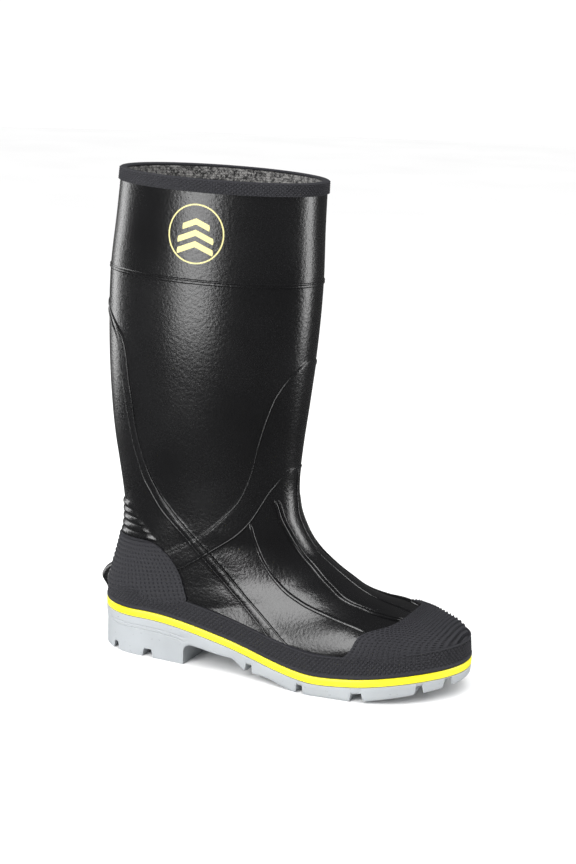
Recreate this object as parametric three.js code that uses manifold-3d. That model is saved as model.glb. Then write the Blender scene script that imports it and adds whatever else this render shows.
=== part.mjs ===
// A knee-high fire boot for the right foot, taken apart into the pieces it is made of.
// Millimetres. +X points to the toe, +Y to the big-toe side and +Z up; it stands on Z = 0.

import * as THREE from 'three';
import { mergeVertices } from 'three/addons/utils/BufferGeometryUtils.js';
import Module from 'manifold-3d';

const wasm = await Module();
wasm.setup();
const { clamp, lerp, smoothstep } = THREE.MathUtils;

// ---- Driving dimensions ----

const SOLE_LENGTH = 306;        // sole, heel to toe
const BALL_WIDTH = 113;         // widest place of the sole
const WAIST_WIDTH = 73;         // narrowest place of the sole
const HEEL_WIDTH = 82;
const HEEL_RISE = 35;           // ground to the middle of the midsole's edge, at the heel
const BALL_RISE = 12.8;         // the same, at the ball
const TOE_SPRING = 10.7;        // how far the toe end stands above the ball

const BOOT_HEIGHT = 385;        // ground to the middle of the top edge
const TOP_LENGTH = 166;         // shaft, front to back, at the top edge
const TOP_WIDTH = 118;
const CALF_LENGTH = 175;        // shaft, front to back, at its fullest
const CALF_WIDTH = 116;
const ANKLE_WIDTH = 84;
const TOP_SLOPE = 0.02;         // drop of the top edge towards the toe, as a slope

const UPPER_WALL = 2.4;
const SOCK_BOTTOM = 1.6;        // the upper's thinner wall under the foot
const LINING_WALL = 1.2;
const FOOT_ROOM = 0.4;          // more air round the lining in the foot, where the sides turn under
const GAP = 0.3;                // air left between pieces that touch
const SEAT = 0.027 * (HEEL_RISE - BALL_RISE); // air between the curved layers laid in the sole

const MIDSOLE_THICKNESS = 6;
const MIDSOLE_INSET = 0.4;      // its edge lies a little inside the sole's
const FOXING_HEIGHT = 17;
const FOXING_WALL = 3.5;        // how far the sole's edge stands outside the upper
const FOXING_LEAN = 1;          // how far the foxing's top edge leans in
const GUARD_WALL = 1.8;
const HEEL_GUARD_HEIGHT = 91;   // ground to the heel guard's top edge
const HEEL_GUARD_REACH = 86;    // back of the heel to the guard's front edge
const LUG_HALF_TURN = 0.36;     // kick-off lug, half its width as an angle round the heel
const LUG_EDGE = 0.8;           // how far the lug's rim and its middle stand out
const LUG_BULGE = 4.6;
const BINDING_HEIGHT = 10;
const BINDING_WALL = 1.5;
const TRIM_LINE_DROP = 76.7;    // top edge down to the trim line
const TRIM_LINE_HEIGHT = 2.6;
const TRIM_LINE_WALL = 0.9;

const CAP_WALL = 1.6;
const CAP_EDGE_WIDTH = 8;
const STIFFENER_WALL = 1.4;
const SHANK_LENGTH = 105;
const SHANK_WIDTH = 22;
const SHANK_THICKNESS = 1.2;
const PLATE_THICKNESS = 1;
const BOARD_THICKNESS = 1.6;
const PLATE_INSET = 13;         // sole's edge in to the plate's and the board's edge
const INSOLE_INSET = 14.5;
const INSOLE_HEEL = 5;          // loose insole's foam at the heel
const INSOLE_TOE = 3;
const INSOLE_PLAY = 3;          // air round the loose insole
const COVER_THICKNESS = 1;

const ARCH_HEIGHT = 17;         // ladder notch in front of the heel block
const NOTCH_DROP = 4;           // how much lower the notch is at its front
const SHANK_HEIGHT = 5;         // underside in front of the notch, before it reaches the ground
const TOE_RISE = 0.19;          // slope of the underside under the toe
const SOLE_EDGE_DRAFT = 1.5;    // the outsole's edge leans in this far at the ground
const TREAD_DEPTH = 6.5;
const TREAD_GAP = 5;

// Landmarks along the sole, in mm on the last that the sections below are drawn for.
const LAST_LENGTH = 306;
const grade = SOLE_LENGTH / LAST_LENGTH;
const HEEL_CENTRE = 45 * grade;
const WAIST = 120 * grade;
const BALL = 205 * grade;
const TOE_CENTRE = 235 * grade;
const BREAST = 87 * grade;      // front face of the heel block
const ARCH_FRONT = 128 * grade;
const SHANK_START = 145 * grade;
const SHANK_MIDDLE = 100 * grade;

// ---- Helpers that make closed solids ----

const boot = new THREE.Group();

function signedVolume(points, index) {
  let sum = 0;
  const [a, b, c] = [new THREE.Vector3(), new THREE.Vector3(), new THREE.Vector3()];
  for (let i = 0; i < index.length; i += 3) {
    a.fromBufferAttribute(points, index[i]);
    b.fromBufferAttribute(points, index[i + 1]);
    c.fromBufferAttribute(points, index[i + 2]);
    sum += a.dot(b.cross(c)) / 6;
  }
  return sum;
}

// Welds the corners, drops triangles that have shrunk to nothing and turns the faces out.
function closedGeometry(corners, faces) {
  const loose = new THREE.BufferGeometry();
  const numbers = corners.flatMap((p) => p.toArray());
  loose.setAttribute('position', new THREE.Float32BufferAttribute(numbers, 3));
  loose.setIndex(faces.flat());
  const welded = mergeVertices(loose, 1e-3);
  const old = welded.index.array;
  let index = [];
  for (let i = 0; i < old.length; i += 3) {
    const [a, b, c] = [old[i], old[i + 1], old[i + 2]];
    if (a !== b && b !== c && c !== a) index.push(a, b, c);
  }
  if (signedVolume(welded.attributes.position, index) < 0) index = index.reverse();
  welded.setIndex(index);
  return welded;
}

// A solid between an outer and an inner grid of points. A ring's last column meets its first.
function slab(outer, inner, ring = false) {
  const rows = outer.length;
  const columns = outer[0].length;
  const corners = [...outer.flat(), ...inner.flat()];
  const faces = [];
  const quad = (a, b, c, d) => faces.push([a, b, c], [a, c, d]);
  const out = (i, j) => i * columns + (j % columns);
  const inn = (i, j) => rows * columns + out(i, j);
  const spans = ring ? columns : columns - 1;
  const last = rows - 1;
  for (let j = 0; j < spans; j++) {
    for (let i = 0; i < last; i++) {
      quad(out(i, j), out(i, j + 1), out(i + 1, j + 1), out(i + 1, j));
      quad(inn(i, j), inn(i + 1, j), inn(i + 1, j + 1), inn(i, j + 1));
    }
    quad(out(0, j + 1), out(0, j), inn(0, j), inn(0, j + 1));
    quad(out(last, j), out(last, j + 1), inn(last, j + 1), inn(last, j));
  }
  for (let i = 0; i < last && !ring; i++) {
    quad(out(i, 0), out(i + 1, 0), inn(i + 1, 0), inn(i, 0));
    quad(out(i + 1, spans), out(i, spans), inn(i, spans), inn(i + 1, spans));
  }
  return closedGeometry(corners, faces);
}

// A closed band whose cross-section is a closed loop of rows.
function band(rows) {
  const columns = rows[0].length;
  const corners = rows.flat();
  const faces = [];
  for (let i = 0; i < rows.length; i++) {
    const next = (i + 1) % rows.length;
    for (let j = 0; j < columns; j++) {
      const beside = (j + 1) % columns;
      const [a, b] = [i * columns + j, i * columns + beside];
      const [c, d] = [next * columns + beside, next * columns + j];
      faces.push([a, b, c], [a, c, d]);
    }
  }
  return closedGeometry(corners, faces);
}

function toManifold(geometry) {
  const vertProperties = new Float32Array(geometry.attributes.position.array);
  const triVerts = new Uint32Array(geometry.index.array);
  return new wasm.Manifold(new wasm.Mesh({ numProp: 3, vertProperties, triVerts }));
}

function fromManifold(body) {
  const mesh = body.getMesh();
  const result = new THREE.BufferGeometry();
  result.setAttribute('position', new THREE.Float32BufferAttribute(mesh.vertProperties, 3));
  result.setIndex(Array.from(mesh.triVerts));
  return result;
}

function cut(geometry, ...cutters) {
  let body = toManifold(geometry);
  for (const cutter of cutters) body = body.subtract(toManifold(cutter));
  return fromManifold(body);
}

const common = (a, b) => fromManifold(toManifold(a).intersect(toManifold(b)));

function add(name, geometry, material) {
  const mesh = new THREE.Mesh(geometry, material);
  mesh.name = name;
  boot.add(mesh);
}

const spread = (from, to, steps) => (
  Array.from({ length: steps + 1 }, (_, i) => lerp(from, to, i / steps))
);

// ---- The sole's outline and edge line ----

// Half the sole's breadth at x, or of a plate that lies a margin inside it.
function halfBreadth(x, inset = 0) {
  const heel = HEEL_WIDTH / 2;
  const waist = WAIST_WIDTH / 2;
  const ball = BALL_WIDTH / 2;
  const toWaist = smoothstep(x, HEEL_CENTRE, WAIST);
  const toBall = smoothstep(x, WAIST, BALL);
  const side = heel + (waist - heel) * toWaist + (ball - waist) * toBall - inset;
  const heelRun = (HEEL_CENTRE - x) / (HEEL_CENTRE - inset);
  const toeRun = (x - TOE_CENTRE) / (SOLE_LENGTH - TOE_CENTRE - inset);
  const run = clamp(Math.max(heelRun, toeRun, 0), 0, 1);
  return side * Math.sqrt(1 - run * run);
}

// The sole bends outwards at the waist and inwards at the toe.
function midLine(x) {
  const k = x / grade;
  const waistBend = -6.5 * smoothstep(k, 45, 120);
  const ballBend = 7.5 * smoothstep(k, 120, 200);
  const toeTurn = 0.1 * Math.max(0, k - 200);
  return waistBend + ballBend + toeTurn;
}

// Height of the middle of the midsole's edge.
function soleLine(x) {
  const k = x / grade;
  const fall = (HEEL_RISE - BALL_RISE) * smoothstep(k, 50, 212);
  return HEEL_RISE - fall + TOE_SPRING * smoothstep(k, 205, 315);
}

const midsoleTop = (x) => soleLine(x) + MIDSOLE_THICKNESS / 2;
const midsoleBottom = (x) => soleLine(x) - MIDSOLE_THICKNESS / 2;
const foxingTop = (x) => midsoleTop(x) + FOXING_HEIGHT;

const BREAST_FOOT = BREAST + 3; // the heel block's front face slopes this far

// Underside of the outsole: heel block, ladder notch, forefoot and toe spring.
function groundLine(x) {
  if (x <= BREAST) return 0;
  const notch = ARCH_HEIGHT - NOTCH_DROP * (x - BREAST) / (ARCH_FRONT - BREAST);
  if (x <= ARCH_FRONT) return notch * smoothstep(x, BREAST, BREAST_FOOT);
  const k = x / grade;
  const step = lerp(ARCH_HEIGHT - NOTCH_DROP, SHANK_HEIGHT, smoothstep(x, ARCH_FRONT, SHANK_START));
  const shank = step * (1 - smoothstep(k, 158, 190));
  return shank + TOE_RISE * Math.max(0, k - 236) * smoothstep(k, 225, 250);
}

// Rows of x values that crowd towards the round heel and toe.
function soleStations(inset, extra, steps) {
  const quarter = spread(0, Math.PI / 2, steps);
  const heel = quarter.map((a) => HEEL_CENTRE - (HEEL_CENTRE - inset) * Math.cos(a));
  const middle = spread(HEEL_CENTRE, TOE_CENTRE, 2 * steps).slice(1, -1);
  const reach = SOLE_LENGTH - TOE_CENTRE - inset;
  const toe = quarter.map((a) => TOE_CENTRE + reach * Math.sin(a));
  return [...heel, ...middle, ...toe, ...extra].sort((a, b) => a - b);
}

function soleGrid(stations, inset, height, across) {
  return stations.map((x) => spread(-1, 1, across).map((side) => (
    new THREE.Vector3(x, midLine(x) + side * halfBreadth(x, inset), height(x))
  )));
}

function solePlate(inset, bottom, top, { bottomInset = inset, extra = [], across = 2, steps = 6 } = {}) {
  const stations = soleStations(inset, extra, steps);
  const below = soleStations(bottomInset, extra, steps);
  return slab(soleGrid(stations, inset, top, across), soleGrid(below, bottomInset, bottom, across));
}

// ---- The upper's surface, as sections from the top edge down and round to the toe ----

const ANKLE_FRONT = { x: 162, rise: 116.2 };
const ANKLE_BACK = { x: 12.3, rise: 93 };
const ankleCentre = grade * (ANKLE_FRONT.x + ANKLE_BACK.x) / 2;
const ankleHalf = grade * (ANKLE_FRONT.x - ANKLE_BACK.x) / 2;
const ankleHeight = midsoleTop(grade * ANKLE_FRONT.x) + ANKLE_FRONT.rise;
const FULLEST = 0.66;           // share of the shaft's height where the calf is fullest

function shaftHalf(share, ankle, calf, top) {
  if (share > FULLEST) return lerp(calf, top, smoothstep(share, FULLEST, 1));
  return lerp(ankle, calf, Math.sin(Math.PI / 2 * share / FULLEST));
}

// Share of the shaft's height, and how far the shaft's middle stands in front of the ankle's.
const SHAFT_SECTIONS = [
  [1, 4.7], [0.86, 2.6], [0.69, 0.2], [0.5, -1.5], [0.31, -3.1], [0.15, -3.4], [0.05, -2.2],
];

function shaftSection([share, forward]) {
  const middle = ankleCentre + forward;
  const half = shaftHalf(share, ankleHalf, CALF_LENGTH / 2, TOP_LENGTH / 2);
  const z = lerp(ankleHeight, BOOT_HEIGHT, share);
  const tilt = TOP_SLOPE * half * share;
  return {
    front: [middle + half, z - tilt],
    back: [middle - half, z + tilt],
    half: shaftHalf(share, ANKLE_WIDTH / 2, CALF_WIDTH / 2, TOP_WIDTH / 2),
    offset: 0, widest: 0, frontPower: 2, backPower: 2,
  };
}

// Instep point, then heel or sole point, each as x and height above the midsole; share of the
// width that the sole sets, and what is added to it; widest place; fullness in front and behind.
const FOOT_SECTIONS = [
  [162, 116.2, 12.3, 93, 0, 0, 0, 2, 2.1],
  [164, 103.5, 15, 79, 0, -1, -0.1, 2.1, 2.2],
  [168.5, 94.8, 15.4, 66, 0.05, -1, -0.2, 2.1, 2.2],
  [174.5, 86.7, 13.5, 53, 0.15, -1, -0.3, 2.1, 2.2],
  [182, 79.2, 10.5, 40, 0.35, -0.5, -0.35, 2.2, 2.25],
  [191, 73.5, 7.5, 26, 0.6, 0, -0.35, 2.25, 2.5],
  [201.5, 67.7, 5.5, 12, 1, 1, -0.35, 2.4, 2.8],
  [213.5, 61.6, 9, -4, 1, 0, -0.25, 2.75, 3],
  [227, 54.9, 45, -4, 1, -0.5, -0.35, 3, 3],
  [240, 49, 95, -4, 1, -1, -0.3, 3, 3],
  [251, 43, 150, -4, 1, -3, -0.25, 3, 3],
  [262, 37.5, 205, -4, 1, 0, -0.15, 2.8, 3],
  [272, 34.5, 243, -4, 1, -0.5, -0.25, 2.4, 2.6],
  [282, 31, 268, -4, 1, 0, -0.4, 2.2, 3.2],
  [290.5, 27, 286, -3, 1, 0, -0.35, 2.2, 3],
  [297.5, 22, 296.3, 0, 1, 0, -0.2, 2.1, 2.6],
  [301.5, 16.5, 301.2, 5, 1, 0, 0, 2, 2],
  [302.5, 11, 302.5, 11, 1, 0, 0, 2, 2],
];

function footSection([frontX, frontRise, backX, backRise, bySole, added, widest, frontPower, backPower]) {
  const front = [grade * frontX, midsoleTop(grade * frontX) + frontRise];
  const back = [grade * backX, midsoleTop(grade * backX) + backRise];
  const wideX = lerp(back[0], front[0], (widest + 1) / 2);
  const sole = halfBreadth(wideX, FOXING_WALL);
  const half = Math.max(0, lerp(ANKLE_WIDTH / 2, sole, bySole) + (sole > 0 ? added : 0));
  return { front, back, half, offset: bySole * midLine(wideX), widest, frontPower, backPower };
}

const sections = [...SHAFT_SECTIONS.map(shaftSection), ...FOOT_SECTIONS.map(footSection)];
const rows = sections.map((s) => (
  [...s.front, ...s.back, s.half, s.offset, s.widest, s.frontPower, s.backPower]
));

// Distance down the boot to each section, half-way between its two ends.
const places = [0];
for (let i = 1; i < rows.length; i++) {
  const [a, b] = [rows[i - 1], rows[i]];
  const step = (Math.hypot(b[0] - a[0], b[1] - a[1]) + Math.hypot(b[2] - a[2], b[3] - a[3])) / 2;
  places.push(places[i - 1] + step);
}
const TOE_END = places[places.length - 1];

// A smooth curve through the rows' values in one column.
function slopeAt(column, i) {
  const chord = (k) => (rows[k + 1][column] - rows[k][column]) / (places[k + 1] - places[k]);
  if (i === 0) return chord(0);
  if (i === rows.length - 1) return chord(i - 1);
  const before = places[i] - places[i - 1];
  const after = places[i + 1] - places[i];
  return (chord(i - 1) * after + chord(i) * before) / (before + after);
}
const slopes = rows.map((row, i) => row.map((_, column) => slopeAt(column, i)));

function sectionAt(place) {
  const s = clamp(place, 0, TOE_END);
  let i = 0;
  while (i < places.length - 2 && s > places[i + 1]) i++;
  const span = places[i + 1] - places[i];
  const t = (s - places[i]) / span;
  return rows[i].map((value, column) => (
    value * (1 + 2 * t) * (1 - t) ** 2 + slopes[i][column] * span * t * (1 - t) ** 2
    + rows[i + 1][column] * t * t * (3 - 2 * t) + slopes[i + 1][column] * span * t * t * (t - 1)
  ));
}

// A point of the surface: place down the boot, and angle round it from the front or instep
// (0) by the little-toe side (a quarter turn) to the back or sole (half a turn).
function surfacePoint(place, angle) {
  const [fx, fz, bx, bz, half, offset, widest, frontPower, backPower] = sectionAt(place);
  const power = Math.cos(angle) >= 0 ? frontPower : backPower;
  const cos = Math.abs(Math.cos(angle)) ** (2 / power);
  const sin = Math.sign(Math.sin(angle)) * Math.abs(Math.sin(angle)) ** (2 / power);
  const along = Math.cos(angle) >= 0 ? widest + (1 - widest) * cos : widest - (1 + widest) * cos;
  const share = (along + 1) / 2;
  return new THREE.Vector3(lerp(bx, fx, share), offset - half * sin, lerp(bz, fz, share));
}

const NOSE = new THREE.Vector3(1, 0, 0);

function outward(place, angle) {
  const turn = 0.03;
  const step = 0.8;
  const down = surfacePoint(place + step, angle).sub(surfacePoint(place - step, angle));
  const round = surfacePoint(place, angle + turn).sub(surfacePoint(place, angle - turn));
  const normal = round.cross(down);
  return place > TOE_END - 1e-6 || normal.length() < 1e-9 ? NOSE : normal.normalize();
}

// A point a distance outside (or, below zero, inside) the surface, kept above a floor.
function skinPoint(place, angle, distance, floor) {
  const point = surfacePoint(place, angle).addScaledVector(outward(place, angle), distance);
  if (floor) point.z = Math.max(point.z, floor(point.x));
  return point;
}

const ROUND = 28;
const circle = Array.from({ length: ROUND }, (_, j) => 2 * Math.PI * j / ROUND);

function skin(placesDown, angles, distance, floor) {
  const depth = typeof distance === 'function' ? distance : () => distance;
  return placesDown.map((s) => angles.map((a) => skinPoint(s, a, depth(s, a), floor)));
}

// Place on the shaft whose middle is at height z.
function placeAtHeight(z) {
  let [low, high] = [0, places[SHAFT_SECTIONS.length]];
  for (let n = 0; n < 40; n++) {
    const middle = (low + high) / 2;
    const [, frontZ, , backZ] = sectionAt(middle);
    if ((frontZ + backZ) / 2 > z) low = middle;
    else high = middle;
  }
  return low;
}

// ---- Places where pieces begin and end ----

const firstFoot = SHAFT_SECTIONS.length;
const footPlace = (index) => lerp(
  places[firstFoot + Math.floor(index)],
  places[Math.min(firstFoot + Math.floor(index) + 1, places.length - 1)],
  index % 1,
);
const SEAM = 1;                                  // step between neighbours down the boot
const LEG_END = placeAtHeight(ankleHeight + 23); // leg above, ankle below
const ANKLE_END = footPlace(3);                  // ankle above, foot below
const CAP_EDGE = footPlace(10.5);
const TOE_GUARD_EDGE = footPlace(11);
const HEEL_GUARD_END = footPlace(7.3);
const LUG_TOP = footPlace(4.7);
const LUG_END = footPlace(6.6);
const STIFFENER_TOP = footPlace(4.1);
const STIFFENER_END = footPlace(7);
const TOP_EDGE = placeAtHeight(BOOT_HEIGHT - BINDING_WALL - GAP);
const BINDING_END = placeAtHeight(BOOT_HEIGHT - BINDING_HEIGHT);
const TRIM_START = placeAtHeight(BOOT_HEIGHT - TRIM_LINE_DROP + TRIM_LINE_HEIGHT / 2);
const TRIM_END = placeAtHeight(BOOT_HEIGHT - TRIM_LINE_DROP - TRIM_LINE_HEIGHT / 2);

// Rows of the foot's grid, with one at each place where a piece begins or ends.
const CAP_START = CAP_EDGE - CAP_EDGE_WIDTH;
const ROW_SPACING = 15;
const footMarks = [
  ANKLE_END, STIFFENER_TOP, LUG_TOP, LUG_END, STIFFENER_END, HEEL_GUARD_END,
  footPlace(9), CAP_START - 9, CAP_START, CAP_EDGE - SEAM, CAP_EDGE, TOE_GUARD_EDGE, footPlace(15),
].sort((a, b) => a - b);
const noseRows = [0.4, 0.7, 0.9, 1].map((t) => lerp(footPlace(15), TOE_END, t));
const footRows = [...footMarks.flatMap((mark, i) => {
  const next = footMarks[i + 1];
  if (next === undefined) return [mark];
  return spread(mark, next, Math.ceil((next - mark) / ROW_SPACING)).slice(0, -1);
}), ...noseRows];
const rowsBetween = (from, to) => footRows.filter((s) => s >= from - 1e-6 && s <= to + 1e-6);

// Angles of the grid within a reach either side of the front (0) or the back (Math.PI).
function anglesAround(middle, reach) {
  const steps = Math.round(reach * ROUND / (2 * Math.PI));
  return spread(middle - steps * 2 * Math.PI / ROUND, middle + steps * 2 * Math.PI / ROUND, 2 * steps);
}

// ---- Layers, from the outside in ----

const lifted = (base, thickness) => (x) => base(x) + thickness;

const shellFloor = (x) => midsoleTop(x) + SEAT;
const shellInside = (x) => shellFloor(x) + SOCK_BOTTOM;
const plateBottom = (x) => shellInside(x) + SEAT + SHANK_THICKNESS + GAP;
const boardBottom = (x) => plateBottom(x) + PLATE_THICKNESS + GAP;
const capFloor = lifted(boardBottom, BOARD_THICKNESS + GAP);
const liningFloor = (x) => boardBottom(x) + BOARD_THICKNESS + SEAT;
const liningInside = (x) => liningFloor(x) + LINING_WALL;
const insoleBottom = (x) => liningInside(x) + SEAT;
const foamTop = (x) => insoleBottom(x) + lerp(INSOLE_HEEL, INSOLE_TOE, x / SOLE_LENGTH);
const coverBottom = (x) => foamTop(x) + GAP;

// The lining makes room for the toe cap and the heel stiffener.
function liningDepth(place, angle) {
  const cap = (CAP_WALL + GAP) * smoothstep(place, CAP_START - 9, CAP_START - 0.5);
  const below = smoothstep(place, footPlace(3.2), footPlace(3.9));
  const down = below * (1 - smoothstep(place, footPlace(8), footPlace(9)));
  const behind = smoothstep(-Math.cos(angle), 0.1, 0.45);
  const room = FOOT_ROOM * smoothstep(place, ANKLE_END, footPlace(6));
  return UPPER_WALL + GAP + room + cap + (STIFFENER_WALL + GAP) * down * behind;
}

const legUpper = () => slab(
  skin(spread(TOP_EDGE, LEG_END, 7), circle, 0),
  skin(spread(TOP_EDGE, LEG_END, 7), circle, -UPPER_WALL),
  true,
);

const ankleUpper = () => slab(
  skin(spread(LEG_END + SEAM, ANKLE_END - SEAM, 5), circle, 0),
  skin(spread(LEG_END + SEAM, ANKLE_END - SEAM, 5), circle, -UPPER_WALL),
  true,
);

const footUpper = () => slab(
  skin(footRows, circle, 0, shellFloor),
  skin(footRows, circle, -UPPER_WALL, shellInside),
  true,
);

function liningTube(from, to, steps) {
  const down = spread(from, to, steps);
  return slab(
    skin(down, circle, (s, a) => -liningDepth(s, a)),
    skin(down, circle, (s, a) => -liningDepth(s, a) - LINING_WALL),
    true,
  );
}

const footLining = () => slab(
  skin(footRows, circle, (s, a) => -liningDepth(s, a), liningFloor),
  skin(footRows, circle, (s, a) => -liningDepth(s, a) - LINING_WALL, liningInside),
  true,
);

function topBinding() {
  const inside = -UPPER_WALL - GAP - LINING_WALL - GAP;
  const profile = [
    [BINDING_END, GAP], [BINDING_END, GAP + BINDING_WALL], [0, GAP + BINDING_WALL],
    [0, inside - BINDING_WALL], [BINDING_END, inside - BINDING_WALL], [BINDING_END, inside],
    [TOP_EDGE - GAP, inside], [TOP_EDGE - GAP, GAP],
  ];
  return band(profile.map(([s, d]) => circle.map((a) => skinPoint(s, a, d))));
}

function trimLine() {
  const outside = GAP + TRIM_LINE_WALL;
  const profile = [[TRIM_START, GAP], [TRIM_START, outside], [TRIM_END, outside], [TRIM_END, GAP]];
  return band(profile.map(([s, d]) => circle.map((a) => skinPoint(s, a, d))));
}

// A solid of everything below the foxing's top edge, to trim the guards against it.
function belowFoxing() {
  const wider = -12;
  const deep = -50;
  return solePlate(wider, () => deep, lifted(foxingTop, GAP));
}

function guard(down, angles) {
  const patch = slab(skin(down, angles, 2 * GAP), skin(down, angles, 2 * GAP + GUARD_WALL));
  return cut(patch, belowFoxing());
}

const toeGuard = () => guard(rowsBetween(TOE_GUARD_EDGE, TOE_END), anglesAround(0, 2.2));

// The heel guard's outline seen from the side: level on top, with a round front corner.
function heelGuardOutline() {
  const fullness = 0.57;
  const level = soleLine(0);
  const middle = 10 * grade;
  const reach = HEEL_GUARD_REACH - middle;
  const outline = spread(0, Math.PI / 2, 12).map((a) => new THREE.Vector2(
    middle + reach * Math.cos(a) ** fullness,
    level + (HEEL_GUARD_HEIGHT - level) * Math.sin(a) ** fullness,
  ));
  const shape = new THREE.Shape([new THREE.Vector2(middle + reach, 0), ...outline,
    new THREE.Vector2(-middle - reach, HEEL_GUARD_HEIGHT), new THREE.Vector2(-middle - reach, 0)]);
  const solid = new THREE.ExtrudeGeometry(shape, { depth: 2 * BALL_WIDTH, bevelEnabled: false });
  solid.deleteAttribute('normal');
  solid.deleteAttribute('uv');
  solid.rotateX(Math.PI / 2);
  solid.translate(0, BALL_WIDTH, 0);
  return mergeVertices(solid);
}

const heelGuard = () => common(
  guard(rowsBetween(ANKLE_END, HEEL_GUARD_END), anglesAround(Math.PI, 1.6)),
  heelGuardOutline(),
);

// A ledge on the heel for pushing the boot off with the other foot.
function kickOffLug() {
  const down = spread(LUG_TOP, LUG_END, 8);
  const angles = spread(Math.PI - LUG_HALF_TURN, Math.PI + LUG_HALF_TURN, 8);
  const base = 3 * GAP + GUARD_WALL;
  const bulge = (s, a) => {
    const along = (s - LUG_TOP) / (LUG_END - LUG_TOP);
    const across = 1 - ((a - Math.PI) / LUG_HALF_TURN) ** 4;
    return base + LUG_EDGE + LUG_BULGE * across * Math.sin(Math.PI * along ** 1.4);
  };
  return cut(slab(skin(down, angles, base), skin(down, angles, bulge)), belowFoxing());
}

// Everything inside the upper's outer face, from the ankle down.
function footSolid(clearance) {
  const down = [...spread(footPlace(2), ANKLE_END, 2).slice(0, -1), ...footRows];
  const depth = typeof clearance === 'function' ? clearance : () => clearance;
  const outer = skin(down, circle, depth);
  const core = down.map((s) => {
    const middle = surfacePoint(s, 0).add(surfacePoint(s, Math.PI)).multiplyScalar(0.5);
    if (s === TOE_END) middle.copy(skinPoint(s, 0, depth(s, 0)));
    return circle.map(() => middle);
  });
  return slab(outer, core, true);
}

// The rubber band that joins the upper to the sole.
function foxingBand() {
  const bottomToTop = solePlate(FOXING_LEAN, lifted(midsoleTop, GAP), foxingTop, { bottomInset: 0 });
  return cut(bottomToTop, footSolid(GAP));
}

const midsole = () => solePlate(MIDSOLE_INSET, midsoleBottom, midsoleTop);

// Heel block and forefoot in one piece, with cleats left standing between the grooves.
function outsole() {
  const extra = [
    BREAST, (BREAST + BREAST_FOOT) / 2, BREAST_FOOT, ARCH_FRONT, ARCH_FRONT + 9 * grade, SHANK_START,
  ];
  const bottomInset = SOLE_EDGE_DRAFT;
  const blank = solePlate(0, groundLine, lifted(midsoleBottom, -GAP), { bottomInset, extra });
  return cut(blank, ...grooves());
}

function groove(x, y, width, length, turn) {
  const box = new THREE.BoxGeometry(width, length, 2 * TREAD_DEPTH);
  box.deleteAttribute('normal');
  box.deleteAttribute('uv');
  box.rotateZ(turn);
  box.translate(x, y, groundLine(x));
  return mergeVertices(box);
}

// Each groove's x on the last, its turn and its width as a share of TREAD_GAP.
const GROOVES = [
  [20, 0.1, 1], [54.5, 0, 1.6], [150, -0.1, 1.2], [196, -0.05, 1.1],
  [236, 0.05, 1.8], [277, 0.12, 1], [293, 0.2, 1],
];

function grooves() {
  const length = 1.4 * BALL_WIDTH;
  return GROOVES.map(([along, turn, width]) => {
    const x = along * grade;
    return groove(x, midLine(x), width * TREAD_GAP, length, turn);
  });
}

const capAngles = anglesAround(0, 2.1);
const stiffenerAngles = anglesAround(Math.PI, 1);
const capDepth = UPPER_WALL + GAP;

// A stiff piece between the upper and the lining. It stands on the insole board.
function capPiece(down, angles, wall) {
  const shell = slab(skin(down, angles, -capDepth), skin(down, angles, -capDepth - wall));
  return common(shell, solePlate(0, capFloor, lifted(capFloor, HEEL_GUARD_HEIGHT)));
}

const steelToeCap = () => capPiece(rowsBetween(CAP_EDGE, TOE_END), capAngles, CAP_WALL);

const toeCapEdgeStrip = () => (
  capPiece(rowsBetween(CAP_START, CAP_EDGE - SEAM), capAngles, CAP_WALL)
);

const heelStiffener = () => (
  capPiece(rowsBetween(STIFFENER_TOP, STIFFENER_END), stiffenerAngles, STIFFENER_WALL)
);

function steelShank() {
  const stations = spread(SHANK_MIDDLE - SHANK_LENGTH / 2, SHANK_MIDDLE + SHANK_LENGTH / 2, 12);
  const grid = (height) => stations.map((x) => [-1, 1].map((side) => (
    new THREE.Vector3(x, midLine(x) + side * SHANK_WIDTH / 2, height(x))
  )));
  const bottom = lifted(shellInside, SEAT);
  return slab(grid(lifted(bottom, SHANK_THICKNESS)), grid(bottom));
}

const insideUpper = -UPPER_WALL - SEAT;
const insideLining = (s, a) => -liningDepth(s, a) - LINING_WALL - INSOLE_PLAY;

// A flat piece of the sole's outline, trimmed to the room inside the wall around it.
function boardPiece(bottom, thickness) {
  return common(solePlate(PLATE_INSET, bottom, lifted(bottom, thickness)), footSolid(insideUpper));
}

function insolePiece(bottom, top) {
  return common(solePlate(INSOLE_INSET, bottom, top), footSolid(insideLining));
}

const steelPlate = () => boardPiece(plateBottom, PLATE_THICKNESS);
const insoleBoard = () => boardPiece(boardBottom, BOARD_THICKNESS);
const insoleFoam = () => insolePiece(insoleBottom, foamTop);
const insoleCover = () => insolePiece(coverBottom, lifted(coverBottom, COVER_THICKNESS));

// ---- Materials ----

const finish = (color, roughness, metalness = 0) => (
  new THREE.MeshStandardMaterial({ color, roughness, metalness })
);
const blackRubber = finish(0x17181a, 0.35);
const knurledRubber = finish(0x1c1d1f, 0.6);
const yellowRubber = finish(0xf2e61e, 0.5);
const greyRubber = finish(0xb2b7bb, 0.6);
const knit = finish(0x4a4b4e, 0.95);
const steel = finish(0x9a9da1, 0.35, 1);
const fibreboard = finish(0x8a7355, 0.9);
const foam = finish(0x2e3238, 0.95);

// ---- The assembly ----

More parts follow.
